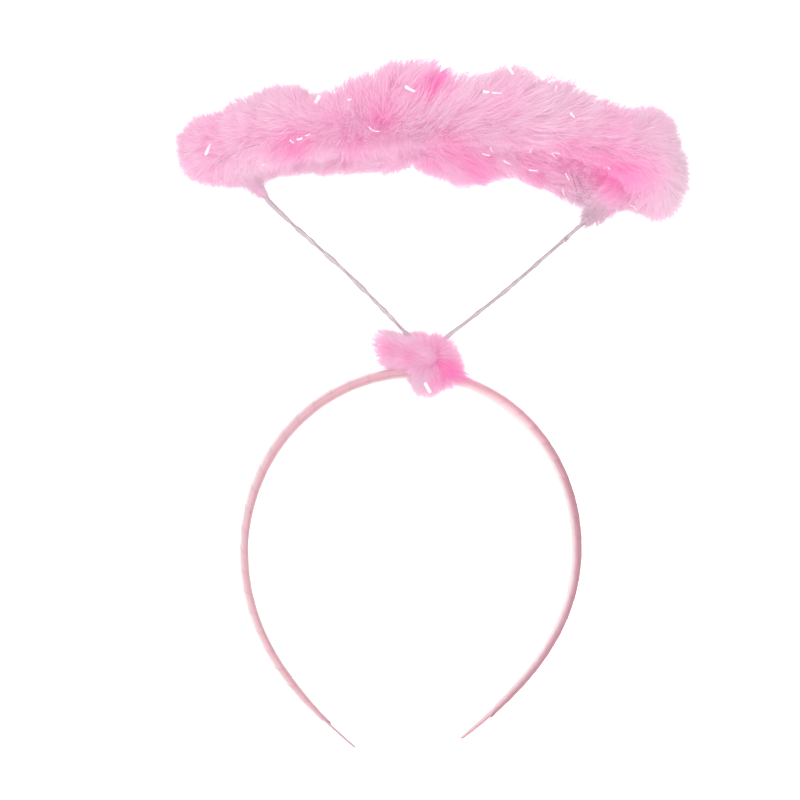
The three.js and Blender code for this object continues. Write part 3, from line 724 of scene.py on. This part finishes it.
# where the dye is strongest, or weak and greyish where the last number is below 0: right, up and
# radius in mm from the front, and strength. They are partly the trim's own colour and partly
# painted shade: deeper pink where the back of the ring lies in the front's shade, greyish at the
# lower edges and the right end
DYE_AND_SHADE_SPOTS = np.array([
    (11, 113, 4.5, 0.9), (5, 112, 5, 0.5), (-7, 106, 10, 0.25), (-14, 100, 5, 0.35), (-10, 96, 4, 0.3),
    (-22, 109, 5, 0.15), (-44, 88, 4, 0.8), (-50, 88, 6, 0.4), (-31, 99, 6, 0.1), (-22, 87, 5, 0.35),
    (26, 80, 6, 0.8), (18, 86, 4, 0.5), (10, 83, 7, 0.35), (45, 83, 8, 0.3), (60, 84, 7, 0.4),
    (76, 76, 7, 0.7), (71, 84, 7, 0.4), (86, 79, 8, 0.4), (86, 72, 9, 0.4), (18, 92, 5, 0.25),
    (79, 95, 6, 0.3), (35, 106, 6, 0.25), (52, 76, 7, 0.25), (-39, 96, 7, 0.05), (-72, 90, 15, 0.15),
    (-62, 106, 10, -0.12), (26, 113, 6, -0.12), (56, 107, 10, -0.1), (5, 94, 8, -0.05),
    (-43, 79, 8, -0.08), (-67, 78, 8, -0.12), (67, 61, 5.5, -0.9), (104, 92, 6, -0.3), (106, 79, 6, -0.35),
    (104, 66, 6, -0.3), (83, 62, 7, -0.4), (-90, 87, 7, -0.1), (-56, 73, 6, -0.4),
    (13, 3, 3.2, 1.4), (16, 0.5, 3.0, 1.4), (20.5, 0.5, 3, 0.9), (-4, 8.4, 4, 0.3), (-12, 12, 3, 0.6),
    (10.5, -3.5, 3.0, 0.6), (5, 10, 9, 0.15), (16, 12, 5, 0.1), (-3, 17, 3, -0.3), (-11, 17, 3, -0.3),
    (2, -3.5, 3.4, -0.2),
])


def row(turn, column):
    """A column of the table at any turn in radians, eased between its rows."""
    turn = np.degrees(turn) % 360
    after = np.clip(np.searchsorted(DOWN[:, 0], turn), 1, len(DOWN) - 1)
    low, high = DOWN[after - 1], DOWN[after]
    share = (turn - low[..., 0]) / (high[..., 0] - low[..., 0])
    share = share * share * (3 - 2 * share)
    return low[..., column] * (1 - share) + high[..., column] * share


# the spots' colouring and painted shade at each place, from where the camera sees it
def dye_at(points):
    away = points - np.array(camera.location)
    away *= (DISTANCE / (away @ -np.array(backward)))[:, None]
    right, up = away @ np.array(right_hand) + target.dot(right_hand), away[:, 2] + camera.location.z
    depth = np.zeros(len(points))
    for x, z, radius, strength in DYE_AND_SHADE_SPOTS:
        far = np.hypot(right - x * MM, up - z * MM) / (radius * MM)
        depth += strength * np.exp(-far ** 2)
    return np.clip(depth, -1, 1)


def body_of_down(name, points, faces, gap, flow, outward):
    mesh = mesh_of(name, points, faces)
    mesh.attributes.new("gap", "FLOAT", "POINT").data.foreach_set("value", gap)
    mesh.attributes.new("flow", "FLOAT_VECTOR", "POINT").data.foreach_set("vector", flow.ravel())
    mesh.attributes.new("dye", "FLOAT", "POINT").data.foreach_set(
        "value", dye_at(points + outward * gap[:, None] * 0.7 + flow * SWEPT))
    return mesh


# %% The dense body round the ring
def lumps(points, size, seed):
    """Smooth waves that make a surface uneven, from -1 to 1."""
    wander = np.random.default_rng(seed)
    total = np.zeros(len(points))
    for _ in range(6):
        way = wander.normal(size=3)
        way *= math.tau / (size * wander.uniform(0.7, 1.5)) / np.linalg.norm(way)
        total += np.sin(points @ way + wander.uniform(0, math.tau))
    return total / 6


def halo_body():
    steps, sides = 260, 30
    turn = np.repeat(np.arange(steps) / steps * math.tau, sides)
    around = np.tile(-np.arange(sides) / sides * math.tau, steps)
    place, out, along = ring_place(turn)
    up = np.array([0, 0, 1.0])
    outward = out * np.cos(around)[:, None] + up * np.sin(around)[:, None]
    spinward = -out * np.sin(around)[:, None] + up * np.cos(around)[:, None]
    rise = np.where(np.sin(around) > 0, row(turn, 1), row(turn, 2)) * np.sin(around)
    reach = FLUFF * np.hypot(rise, row(turn, 3) * np.cos(around))
    outer = np.where(np.cos(around) > 0, np.sin(2 * around), 0)
    reach *= 1 - row(turn, 4) * np.where(outer < 0, outer, UPPER_CORNER * outer)
    skin = place + outward * reach[:, None]
    waves = 1
    for height, size, seed in LUMPS:
        waves = waves + height * lumps(skin, size, seed)
    reach *= waves
    aside = np.maximum(outward @ np.array(right_hand), LEAST_ASIDE)
    reach = np.minimum(reach, (CUT_RIGHT - place @ np.array(right_hand)) / aside)
    inner = np.maximum(reach - np.maximum(reach * (1 - BODY_SHARE), SHORTEST), LEAST_BODY)
    points = place + outward * inner[:, None]
    flow = along * row(turn, 5)[:, None] + spinward * row(turn, 6)[:, None]
    faces = grid_faces(steps, sides, around=True)
    first = [(j, (j + 1) % sides) for j in range(sides)]
    last = (steps - 1) * sides
    faces += [(last + a, last + b, b, a) for a, b in first]
    gap = np.maximum(reach - inner, LEAST_GAP)
    return body_of_down("halo_body", points, faces, gap, flow, outward)


body_mesh = halo_body()
print("halo body", len(body_mesh.polygons), "faces")

# %% [markdown]
# ## The barbs
#
# A barb is a soft flat strand that leaves the cord, leans over and ends in a thin tip. Thousands of
# them are scattered over the body, each a copy of one narrow grid. They are made real before they
# are shaped, so each can run from its own root to its own tip: the tip is drawn part of the way to
# the middle of its lock, which turns an even coat of fur into soft locks with gaps between them.

# %% The tree that grows down on a body
def down_tree(material):
    tree, size = geometry_tree("grown down", {
        "Density": 1.0e6, "Seed": 1, "Rows": 5, "Length": 1.0, "Sweep": 0.008, "Stray": 0.002,
        "Lock Size": 0.007, "Lock Pull": 0.6, "Width": 0.0003, "Bow": 0.2, "Wave": 0.001})
    read, store = tree.read, tree.store

    def chance(low, high, seed, kind="FLOAT"):
        return tree.node("FunctionNodeRandomValue", {"data_type": kind},
                         {"Min": low, "Max": high, "Seed": size["Seed"] + float(seed)})

    roots = tree.node("GeometryNodeDistributePointsOnFaces", {"distribute_method": "RANDOM"}, {
        "Mesh": size["Geometry"], "Density": size["Density"], "Seed": size["Seed"]})
    normal = tree.other(roots, "Normal")
    root = tree.node("GeometryNodeInputPosition")
    cell = tree.node("ShaderNodeTexVoronoi", {"voronoi_dimensions": "3D", "feature": "F1"}, {
        "Vector": root, "Scale": 1.0 / size["Lock Size"]}, "Position")
    mood = tree.other(cell, "Color") - (0.5, 0.5, 0.5)
    toward = cell - root
    toward = toward - normal * tree.vector("DOT_PRODUCT", toward, normal, output="Value")
    length = read("gap") * size["Length"]
    lean = read("flow", "FLOAT_VECTOR") * size["Sweep"]
    stray = chance((-1.0, -1.0, -1.0), (1.0, 1.0, 1.0), 11, "FLOAT_VECTOR") * size["Stray"]
    tone = tree.axis(mood, "X")
    length = length * (tone * 0.55 + 0.95)
    own = normal * (length * chance(0.6, 1.08, 12)) + lean * chance(0.5, 1.3, 13) + stray
    shared = toward + normal * length + (lean + mood * size["Lock Size"] * 0.8)
    span = tree.blend(size["Lock Pull"] * chance(0.5, 1.2, 14), own, shared, "VECTOR")
    face = tree.vector("NORMALIZE", tree.vector(
        "CROSS_PRODUCT", span, normal + chance((-0.5,) * 3, (0.5,) * 3, 15, "FLOAT_VECTOR")))
    points = roots
    for name, value, kind in (
            ("root", root, "FLOAT_VECTOR"), ("span", span, "FLOAT_VECTOR"),
            ("face", face, "FLOAT_VECTOR"), ("rise", normal, "FLOAT_VECTOR"),
            ("tone", tone + 0.5, "FLOAT"), ("shade", chance(0.0, 1.0, 16), "FLOAT"),
            ("number", tree.node("GeometryNodeInputIndex"), "FLOAT")):
        points = store(points, name, value, kind)

    strand = tree.node("GeometryNodeMeshGrid", None, {
        "Size X": 1.0, "Size Y": 1.0, "Vertices X": 2, "Vertices Y": size["Rows"]})
    place = tree.node("GeometryNodeInputPosition")
    strand = store(strand, "sideways", tree.axis(place, "X"))
    strand = store(strand, "outward", tree.axis(place, "Y") + 0.5)
    down = tree.node("GeometryNodeInstanceOnPoints", None, {"Points": points, "Instance": strand})
    down = tree.node("GeometryNodeRealizeInstances", None, {"Geometry": down})
    t, s = read("outward"), read("sideways")
    span, root = read("span", "FLOAT_VECTOR"), read("root", "FLOAT_VECTOR")
    far = tree.vector("LENGTH", span, output="Value")
    arc = root + span * t + read("rise", "FLOAT_VECTOR") * (t * (1.0 - t) * far * size["Bow"] * 4.0)
    ripple = tree.other(tree.node("ShaderNodeTexNoise", None, {
        "Vector": arc, "Scale": 260.0, "Detail": 1.0}), "Color") - (0.5, 0.5, 0.5)
    width = size["Width"] * (1.0 - t ** 1.6 * 0.85) * (read("shade") * 0.8 + 0.6)
    spot = arc + ripple * (t * size["Wave"]) + read("face", "FLOAT_VECTOR") * (s * width)
    down = tree.node("GeometryNodeSetPosition", None, {"Geometry": down, "Position": spot})
    number, across = read("number"), 160.0
    cell_x = (tree.function("FLOORED_MODULO", number, across) + 0.5 + s * 0.5) / across
    cell_y = (tree.function("FLOOR", number / across) + 0.1 + t * 0.8) / across
    down = store(down, "OFBake", tree.joined(X=cell_x, Y=cell_y), "FLOAT2", "CORNER")
    close_tree(tree, down, material)
    return tree


# %% What the down looks like
# painted light: the down glows a little in its own colour though it is no lamp, standing in for the light
# it scatters through itself
down_finish, tree, shader = finish("dyed down", Roughness=0.95, Sheen_Weight=0.3, Sheen_Roughness=0.6,
                                   Specular_IOR_Level=0.15, Emission_Strength=0.24)
shader.inputs["Sheen Tint"].default_value = (1, 0.8, 0.9, 1)
place = tree.object_place()
tip, dye = carried(tree, "outward"), carried(tree, "dye")
tone, shade = carried(tree, "tone"), carried(tree, "shade")
patches = noise(tree, place, 60.0, 2.0)
deep = tree.blend(patches, (0.83, 0.23, 0.53), (0.83, 0.31, 0.57))
pale = tree.blend(patches, (0.78, 0.53, 0.65), (0.79, 0.59, 0.69))
pale = tree.blend(shade * 0.35, pale, (0.78, 0.62, 0.72))
# deeper pink toward the root and paler toward the tip: partly the barbs' own colour, partly painted shade
# deep in the down and painted light through the thin tips
depth = tree.function("MAXIMUM", tree.function("MINIMUM", 0.3 - tip * 0.3 + dye * 0.9, 1.0), 0.0)
# greyish where the spots are below 0: painted shade at the lower edges and the right end, with weaker
# colour
wear_and_shade = tree.function("MAXIMUM", 0.0 - dye, 0.0)
colour = tree.blend(wear_and_shade, tree.blend(depth, pale, deep), (0.54, 0.42, 0.48))
feed(tree, shader, Base_Color=colour, Emission_Color=colour)

# the dense body glows the same way, as painted light
body_finish, tree, shader = finish("dense down", Roughness=1.0, Sheen_Weight=0.3,
                                   Specular_IOR_Level=0.1, Emission_Strength=0.24)
place = tree.object_place()
fibre, dye = noise(tree, place, 900.0, 3.0), carried(tree, "dye")
pink = tree.blend(fibre, (0.78, 0.42, 0.62), (0.78, 0.50, 0.66))
# deeper pink where the spots are above 0, partly painted shade of the ring's back, and greyish painted
# shade where they are below 0
dyed_and_shaded = tree.blend(tree.function("MAXIMUM", dye, 0.0), pink, (0.80, 0.28, 0.58))
dyed_and_shaded = tree.blend(tree.function("MAXIMUM", 0.0 - dye, 0.0), dyed_and_shaded, (0.54, 0.42, 0.48))
feed(tree, shader, Base_Color=dyed_and_shaded, Emission_Color=dyed_and_shaded, Normal=bump(tree, fibre, 0.0006))

# %% Grow the halo's down in four coats
halo_body_piece = link("halo_body", body_mesh)
halo_body_piece.data.materials.append(body_finish)
grown = down_tree(down_finish)
COATS = {  # density per mm2, seed, rows, length, sweep, stray, lock size, pull, width, bow, wave
    "halo_down_under": (1.56, 3, 3, 0.80, 5.0, 2.5, 7.0, 0.30, 0.24, 0.24, 0.8),
    "halo_down_middle": (1.69, 4, 3, 0.95, 7.0, 2.0, 8.0, 0.50, 0.17, 0.22, 1.0),
    "halo_down_locks": (1.69, 5, 3, 1.00, 9.0, 1.6, 8.0, 0.65, 0.16, 0.20, 1.2),
    "halo_down_stray": (1.30, 6, 3, 0.98, 6.0, 3.0, 4.0, 0.25, 0.13, 0.24, 1.6),
}


def coat(name, base, tree, row, share=1.0):
    density, seed, rows, length, sweep, stray, lock, pull, width, bow, wave = row
    return grow(name, base.copy(), tree, {
        "Density": density * share / MM ** 2, "Seed": seed, "Rows": rows, "Length": length,
        "Sweep": sweep * MM, "Stray": stray * MM, "Lock Size": lock * MM, "Lock Pull": pull,
        "Width": width * MM, "Bow": bow, "Wave": wave * MM})


halo_coats = [coat(name, body_mesh, grown, row) for name, row in COATS.items()]

# %% [markdown]
# ## The tuft, and the down at the top of each leg
#
# A short piece of the same trim is bound round the crown to hide the feet of the wires. Its barbs
# stand out like a brush on the left, where the trim was cut, and curl round on the right and under
# the band. The down also runs a little way down each leg. Both grow with the same tree from small
# dense bodies of their own. New are a table of how far the tuft reaches each way, and one of how
# far the down runs along each leg.

# %% The tuft's body and coats
TUFT_MIDDLE = np.array([4.4, 0, 7.4]) * MM
TUFT_BODY = np.array([7.5, 6.5, 5.6]) * MM
TUFT_DEPTH = 11 * MM
TUFT_REACH = np.array([  # degrees in the front view, 0 to the right, and millimetres
    (-180, 19), (-165, 17), (-152, 12), (-130, 8.5), (-116, 10.5), (-104, 13.5), (-90, 17),
    (-76, 18.2), (-64, 18.8), (-52, 14.5), (-38, 19), (-22, 26), (-10, 17), (3, 14.6), (25, 16.5),
    (40, 15), (65, 11.5), (90, 10), (110, 10.6), (120, 11.5), (130, 15.5), (140, 20.5), (147, 24.5),
    (155, 23.5), (163, 22.5), (175, 20.5), (180, 19),
])

TUFT_LEAST = 1.5 * MM  # barbs
COMBED = {  # places across the tuft, and which way its barbs are combed there
    "across": [-1.0, -0.3, 0.1, 0.75, 1.0],
    "sideways": [-0.6, -0.9, -0.8, -0.5, 0.5],
    "up": [0.12, 0.1, 0.1, -0.2, -0.2],
}


def tuft_body():
    steps, sides = 40, 30
    tilt = np.repeat(np.linspace(0, math.pi, steps), sides)
    spin = np.tile(np.arange(sides) / sides * math.tau, steps)
    way = np.stack([np.sin(tilt) * np.cos(spin), np.cos(tilt), np.sin(tilt) * np.sin(spin)], 1)
    angle = np.degrees(np.arctan2(way[:, 2], way[:, 0]))
    level = way[:, 1] ** 2
    reach = np.interp(angle, *TUFT_REACH.T) * MM * (1 - level) + TUFT_DEPTH * level
    points = TUFT_MIDDLE + way * TUFT_BODY
    gap = np.maximum(reach - np.linalg.norm(way * TUFT_BODY, axis=1), TUFT_LEAST)
    sideways = np.interp(way[:, 0], COMBED["across"], COMBED["sideways"])
    upward = np.interp(way[:, 0], COMBED["across"], COMBED["up"])
    under = np.clip(-way[:, 2] - 0.2, 0, 0.6) / 0.6
    flow = np.stack([sideways * (1 - 0.9 * under), 0 * under, upward - 0.6 * under], 1)
    faces = grid_faces(steps, sides, around=True)
    return body_of_down("tuft_body", points, faces, gap, flow, way)


tuft_mesh = tuft_body()
tuft_body_piece = link("tuft_body", tuft_mesh)
tuft_body_piece.data.materials.append(body_finish)
TUFT_COATS = {
    "tuft_down_inner": (16.0, 21, 4, 0.80, 4.0, 1.4, 4.0, 0.30, 0.20, 0.12, 0.8),
    "tuft_down_outer": (22.0, 22, 4, 0.95, 5.0, 1.0, 5.0, 0.45, 0.15, 0.10, 1.0),
}
tuft_coats = [coat(name, tuft_mesh, grown, row) for name, row in TUFT_COATS.items()]


# %% Down along the top of each leg
LEG_DOWN = {  # how far it runs down the leg and its thickness in mm, and how bluntly it ends
    "left": (25, 4.6, 1.1),
    "right": (31, 4.2, 0.5),
}
LEG_CORE = 1.4  # mm, the dense body's radius where the down ends
LEG_BARBS, LEG_BARBS_MORE = 1.0, 3.2  # mm, their reach there, and how much is added at the ring
LEG_COMBED = 0.55  # how strongly the barbs lie along the leg


def leg_body(name, line, long, wide, blunt):
    top = line[-1]
    part = line[np.linalg.norm(line - top, axis=1) < long * MM][::-1][::3]
    sides = 16
    share = np.linspace(0, 1, len(part))
    run = np.gradient(part, axis=0)
    run /= np.linalg.norm(run, axis=1)[:, None]
    across = np.cross([0, 1.0, 0], run)
    across /= np.linalg.norm(across, axis=1)[:, None]
    deep = np.cross(run, across)
    turn = np.arange(sides) / sides * math.tau
    way = (across[:, None] * np.cos(turn)[None, :, None]
           + deep[:, None] * np.sin(turn)[None, :, None])
    thick = (wide * (1 - share) ** blunt + LEG_CORE) * MM
    points = (part[:, None] + way * thick[:, None, None]).reshape(-1, 3)
    gap = np.repeat((LEG_BARBS_MORE * (1 - share) + LEG_BARBS) * MM, sides)
    flow = np.repeat(run, sides, axis=0) * LEG_COMBED
    faces = grid_faces(len(part), sides, around=True)
    return body_of_down(name, points, faces, gap, flow, way.reshape(-1, 3))


leg_bodies = {name: leg_body("leg body " + name, leg_lines[name], *row)
              for name, row in LEG_DOWN.items()}
LEG_COAT = (5.5, 31, 4, 0.9, 5.0, 1.2, 4.0, 0.4, 0.15, 0.2, 1.0)
leg_coats = [coat("leg_down_" + name, mesh, grown, LEG_COAT) for name, mesh in leg_bodies.items()]
for name, mesh in leg_bodies.items():
    leg_coats.append(link("leg_body_" + name, mesh))
    mesh.materials.append(body_finish)

# %% [markdown]
# ## Tinsel and quills
#
# A few strands of pearly tinsel are caught in the down and show as short bright strips, and here
# and there the dark quill of a feather lies bare. The ones in the photograph have their places in
# a table, right and up from the origin, and the same kinds are strewn over the rest of the down so
# that it looks alike from behind. Each is set on the down by finding where a line from the camera
# meets the dense body.

# %% Places on the down
from mathutils.bvhtree import BVHTree

halo_tree = BVHTree.FromPolygons([v.co for v in body_mesh.vertices],
                                 [p.vertices for p in body_mesh.polygons])
tuft_tree = BVHTree.FromPolygons([v.co for v in tuft_mesh.vertices],
                                 [p.vertices for p in tuft_mesh.polygons])


def on_down(right, up, depth, body=None):
    """The place on the camera's line through this spot that lies depth over the dense body."""
    body = body or halo_tree
    spot = right_hand * (right * MM) + Vector((0, 0, up * MM))
    way = (spot - camera.location).normalized()
    hit, normal, _, _ = body.ray_cast(camera.location, way)
    if hit is not None:
        return np.array(hit - way * min(depth / abs(normal.dot(way)), 1.6 * depth))
    line = [spot + way * (step * 4 * MM) for step in range(-26, 27)]
    return np.array(min(line, key=lambda place: body.find_nearest(place)[3]) + backward * (8 * MM))


def strip(start, run, face, length, width, curl, steps=6):
    """Points and faces of a flat strip that curls away along its run."""
    across = np.cross(run, face)
    across /= np.linalg.norm(across)
    points = []
    for share in np.linspace(0, 1, steps):
        middle = start + run * (length * (share - 0.5)) + face * (curl * length * (share - 0.5) ** 2)
        twist = across + face * (share - 0.5) * 0.6
        points += [middle - twist * width / 2, middle + twist * width / 2]
    return points, grid_faces(steps, 2)


def gather(name, parts, material):
    points, faces = [], []
    for more, joins in parts:
        faces += [tuple(len(points) + i for i in face) for face in joins]
        points += more
    piece = link(name, mesh_of(name, points, faces))
    piece.data.materials.append(material)
    return piece


# %% Tinsel strips
# right and up, slope in degrees, length, width and height over the dense body, in mm
TINSEL = [
    (-78, 87, 66, 4.6, 0.9, 6.8), (-36, 105, 60, 3.0, 1.1, 7.0), (-37, 107, -30, 2.4, 0.6, 7.0),
    (-1, 110, -28, 3.8, 0.9, 6.8), (37, 116, -60, 3.5, 0.9, 6.8), (28, 109, -8, 2.2, 0.8, 6.6),
    (32, 108.5, -4, 3.4, 0.4, 6.4), (61, 100, -50, 2.2, 0.5, 6.4), (-43, 91, 14, 2.0, 0.7, 6.8),
    (-46, 90, -40, 1.8, 0.4, 6.4), (-14, 94, -8, 2.6, 0.4, 6.4), (28, 85, -16, 3.2, 0.6, 6.6),
    (36, 82, -30, 3.4, 0.4, 6.4), (40, 79, -58, 3.4, 0.5, 6.4), (46, 79, -4, 3.6, 0.5, 6.4),
    (54, 84.5, -50, 3.2, 0.5, 6.4), (59, 76.5, -62, 3.4, 0.4, 6.4), (61, 65.5, 80, 2.4, 0.6, 6.8),
    (102, 83, 10, 2.0, 0.4, 6.4), (57, 70, -75, 3.0, 0.4, 6.4), (52, 112, 35, 2.2, 0.5, 6.6),
    (54, 109, 80, 2.2, 0.4, 6.6), (-40, 92.5, 20, 1.6, 0.4, 6.6), (30, 87, -60, 2.2, 0.35, 6.4),
    (-24, 106, 10, 1.4, 0.35, 6.6), (-16, 95, -50, 1.4, 0.35, 6.4),
]
STREWN_TINSEL = 90  # of which those on the camera's side are left out
TUFT_STRIP = (5.6, -3.8, 13)  # the tuft's one strip: right, up and toward the camera, in mm
# painted glint: the tinsel glows a little in warm white though it is no lamp, and its colour shifts
# between warm and cool white as painted sheen
pearl, tree, shader = finish("pearly tinsel", Roughness=0.16, Coat_Weight=0.8, Coat_Roughness=0.05,
                             Emission_Strength=0.25)
shader.inputs["Emission Color"].default_value = (1, 0.97, 0.93, 1)
place = tree.object_place()
sheen = noise(tree, place, 130.0)
feed(tree, shader, Base_Color=tree.blend(sheen, (1.0, 0.93, 0.80), (0.93, 0.92, 1.0)))


def tinsel_strips():
    parts = []
    for right, up, slope, length, width, depth in TINSEL:
        place = on_down(right, up, depth * MM)
        slope = math.radians(slope)
        run = np.array(right_hand) * math.cos(slope) + np.array([0, 0, math.sin(slope)])
        face = np.array(backward) + np.array([0.1, 0, 0.25])
        parts.append(strip(place, run, face / np.linalg.norm(face), length * MM, width * MM, 0.5))
    polygons = body_mesh.polygons
    for index in rng.choice(len(polygons), STREWN_TINSEL, replace=False):
        spot = polygons[index]
        away = np.array(spot.normal)
        if np.dot(away, np.array(backward)) > 0.1:
            continue
        run = np.cross(away, rng.normal(size=3))
        run = run / np.linalg.norm(run) + away * rng.uniform(-0.2, 0.5)
        place = np.array(spot.center) + away * rng.uniform(5, 6.5) * MM
        parts.append(strip(place, run / np.linalg.norm(run), away, rng.uniform(2, 5) * MM,
                           rng.uniform(0.4, 1.1) * MM, rng.uniform(0.2, 1.0)))
    right, up, near = TUFT_STRIP
    place = (np.array(right_hand) * right * MM + np.array([0, 0, up]) * MM
             + np.array(backward) * near * MM)
    run = np.array(right_hand) * 0.5 + np.array([0, 0, -0.87])
    parts.append(strip(place, run, np.array(backward), 4.2 * MM, 1.1 * MM, 0.3))
    return parts


tinsel = gather("tinsel", tinsel_strips(), pearl)
print("tinsel", len(tinsel.data.polygons), "faces")

# %% Bare quills
# right and up of each end in mm, and how far it bows up in mm
QUILLS = [
    (-74, 82, -58, 89, 1.0), (62.5, 77, 67, 66, 0.6), (68.5, 88, 78, 84, 0.4), (3, 85, 9, 83.5, 0.3),
    (60, 79, 63.5, 68, 0.5),
]
QUILL_DEPTH = 7.4 * MM  # over the dense body
STREWN_QUILLS = 14  # of which only those at the back are kept
dark_quill, tree, shader = finish("bare quill", Roughness=0.45)
place = tree.object_place()
mottle = noise(tree, place, 500.0)
feed(tree, shader, Base_Color=tree.blend(mottle, (0.48, 0.26, 0.35), (0.62, 0.39, 0.47)))


def tube(line, thick, sides=6):
    """Points and faces of a thin tube that tapers to its far end."""
    run = np.gradient(line, axis=0)
    run /= np.linalg.norm(run, axis=1)[:, None]
    across = np.cross(run, [0.3, 1, 0.2])
    across /= np.linalg.norm(across, axis=1)[:, None]
    deep = np.cross(run, across)
    points = []
    for i, middle in enumerate(line):
        size = thick * (1 - 0.6 * i / len(line))
        points += [middle + size * (across[i] * math.cos(a) + deep[i] * math.sin(a))
                   for a in np.arange(sides) / sides * math.tau]
    last = (len(line) - 1) * sides
    ends = [tuple(range(sides))[::-1], tuple(range(last, last + sides))]
    return points, grid_faces(len(line), sides, around=True) + ends


def quill_tubes():
    parts = []
    for x0, z0, x1, z1, bow in QUILLS:
        share = np.linspace(0, 1, 9)
        line = [on_down(x0 + (x1 - x0) * s, z0 + (z1 - z0) * s + bow * 4 * s * (1 - s), QUILL_DEPTH)
                for s in share]
        parts.append(tube(np.array(line), 0.24 * MM))
    for index in rng.choice(len(body_mesh.polygons), STREWN_QUILLS, replace=False):
        spot = body_mesh.polygons[index]
        away = np.array(spot.normal)
        if np.dot(away, np.array(backward)) > -0.3:
            continue
        run = np.cross(away, rng.normal(size=3))
        run /= np.linalg.norm(run)
        share = np.linspace(-0.5, 0.5, 9)[:, None]
        line = (np.array(spot.center) + away * 6.0 * MM + run * share * 14 * MM
                - away * share ** 2 * 6 * MM)
        parts.append(tube(line, 0.18 * MM))
    return parts


quills = gather("quills", quill_tubes(), dark_quill)
print("quills", len(quills.data.polygons), "faces")

# %% [markdown]
# ## The loose end of the film
#
# Near the top of the right leg the film's end was left as a flat pale strand beside the wire, with
# a small dark knot below it. It is a bent strip, and the knot is a few turns of film.

# %% The loose end and its knot
FILM_STRAND = [(58.6, 1.2, 52.6), (62.0, -0.6, 56.6), (66.4, -1.6, 61.0)]  # right, back and up in mm
FILM_WEB = [(-63.5, 75.0), (-58.0, 76.0), (-53.2, 65.5), (-54.6, 65.8)]  # right and up in mm
STRAND_SIDE = np.array([0.7, 0.1, -0.7])  # the way from one edge of the strand to the other
KNOT_TURNS, KNOT_STEPS = 2.6, 60


def film_end():
    a, b, c = (right_hand * (x * MM) + Vector((0, y * MM, z * MM)) for x, y, z in FILM_STRAND)
    line = smooth_path([np.array(p) for p in (a, b, c)], 8)
    points = []
    for i, middle in enumerate(line):
        wide = (0.5 + 0.35 * math.sin(i * 0.9)) * MM
        points += [middle - STRAND_SIDE * wide, middle + STRAND_SIDE * wide]
    turn = np.linspace(0, KNOT_TURNS * math.tau, KNOT_STEPS)
    rise = np.linspace(-0.6, 0.6, KNOT_STEPS)
    knot = np.stack([0.55 * np.cos(turn), 0.9 * np.sin(turn), rise], 1) * MM
    web = [right_hand * (x * MM) + Vector((0, -0.8 * MM, z * MM)) for x, z in FILM_WEB]
    return [(points, grid_faces(len(line), 2)), tube(np.array(a) + knot, 0.22 * MM),
            ([np.array(p) for p in web], [(0, 1, 2), (0, 2, 3)])]


loose_film = gather("film_end", film_end(), film)
cover = loose_film.modifiers.new("thickness", "SOLIDIFY")
cover.thickness = 0.08 * MM

# %% [markdown]
# ## Which solid each piece stands for
#
# Nothing on the headband moves on a joint, so every piece rides on the one body. Each dressed
# piece names the solid that it replaces, which is hidden, and a finish from the record.

# %% Hand the pieces to the frame
STANDS_FOR = {
    "band_strip": ("band", "band_plastic"),
    "satin_ribbon": ("ribbon_winding", "satin_ribbon"),
    "leg_left": ("halo_wire", "film_wire"),
    "leg_right": ("halo_wire", "film_wire"),
    "ring_wire": ("halo_wire", "film_wire"),
    "film_end": ("halo_wire", "film_wire"),
    "halo_body": ("halo_trim", "halo_down"),
    "tinsel": ("halo_trim", "halo_down"),
    "quills": ("halo_trim", "halo_down"),
    "tuft_body": ("crown_tuft", "tuft_down"),
}
STANDS_FOR |= {piece.name: ("halo_trim", "halo_down") for piece in halo_coats + leg_coats}
STANDS_FOR |= {piece.name: ("crown_tuft", "tuft_down") for piece in tuft_coats}
for name, (node, slot_name) in STANDS_FOR.items():
    piece = bpy.data.objects[name]
    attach(piece, "root")
    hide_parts(node)

print(len(STANDS_FOR), "pieces stand for the solids")
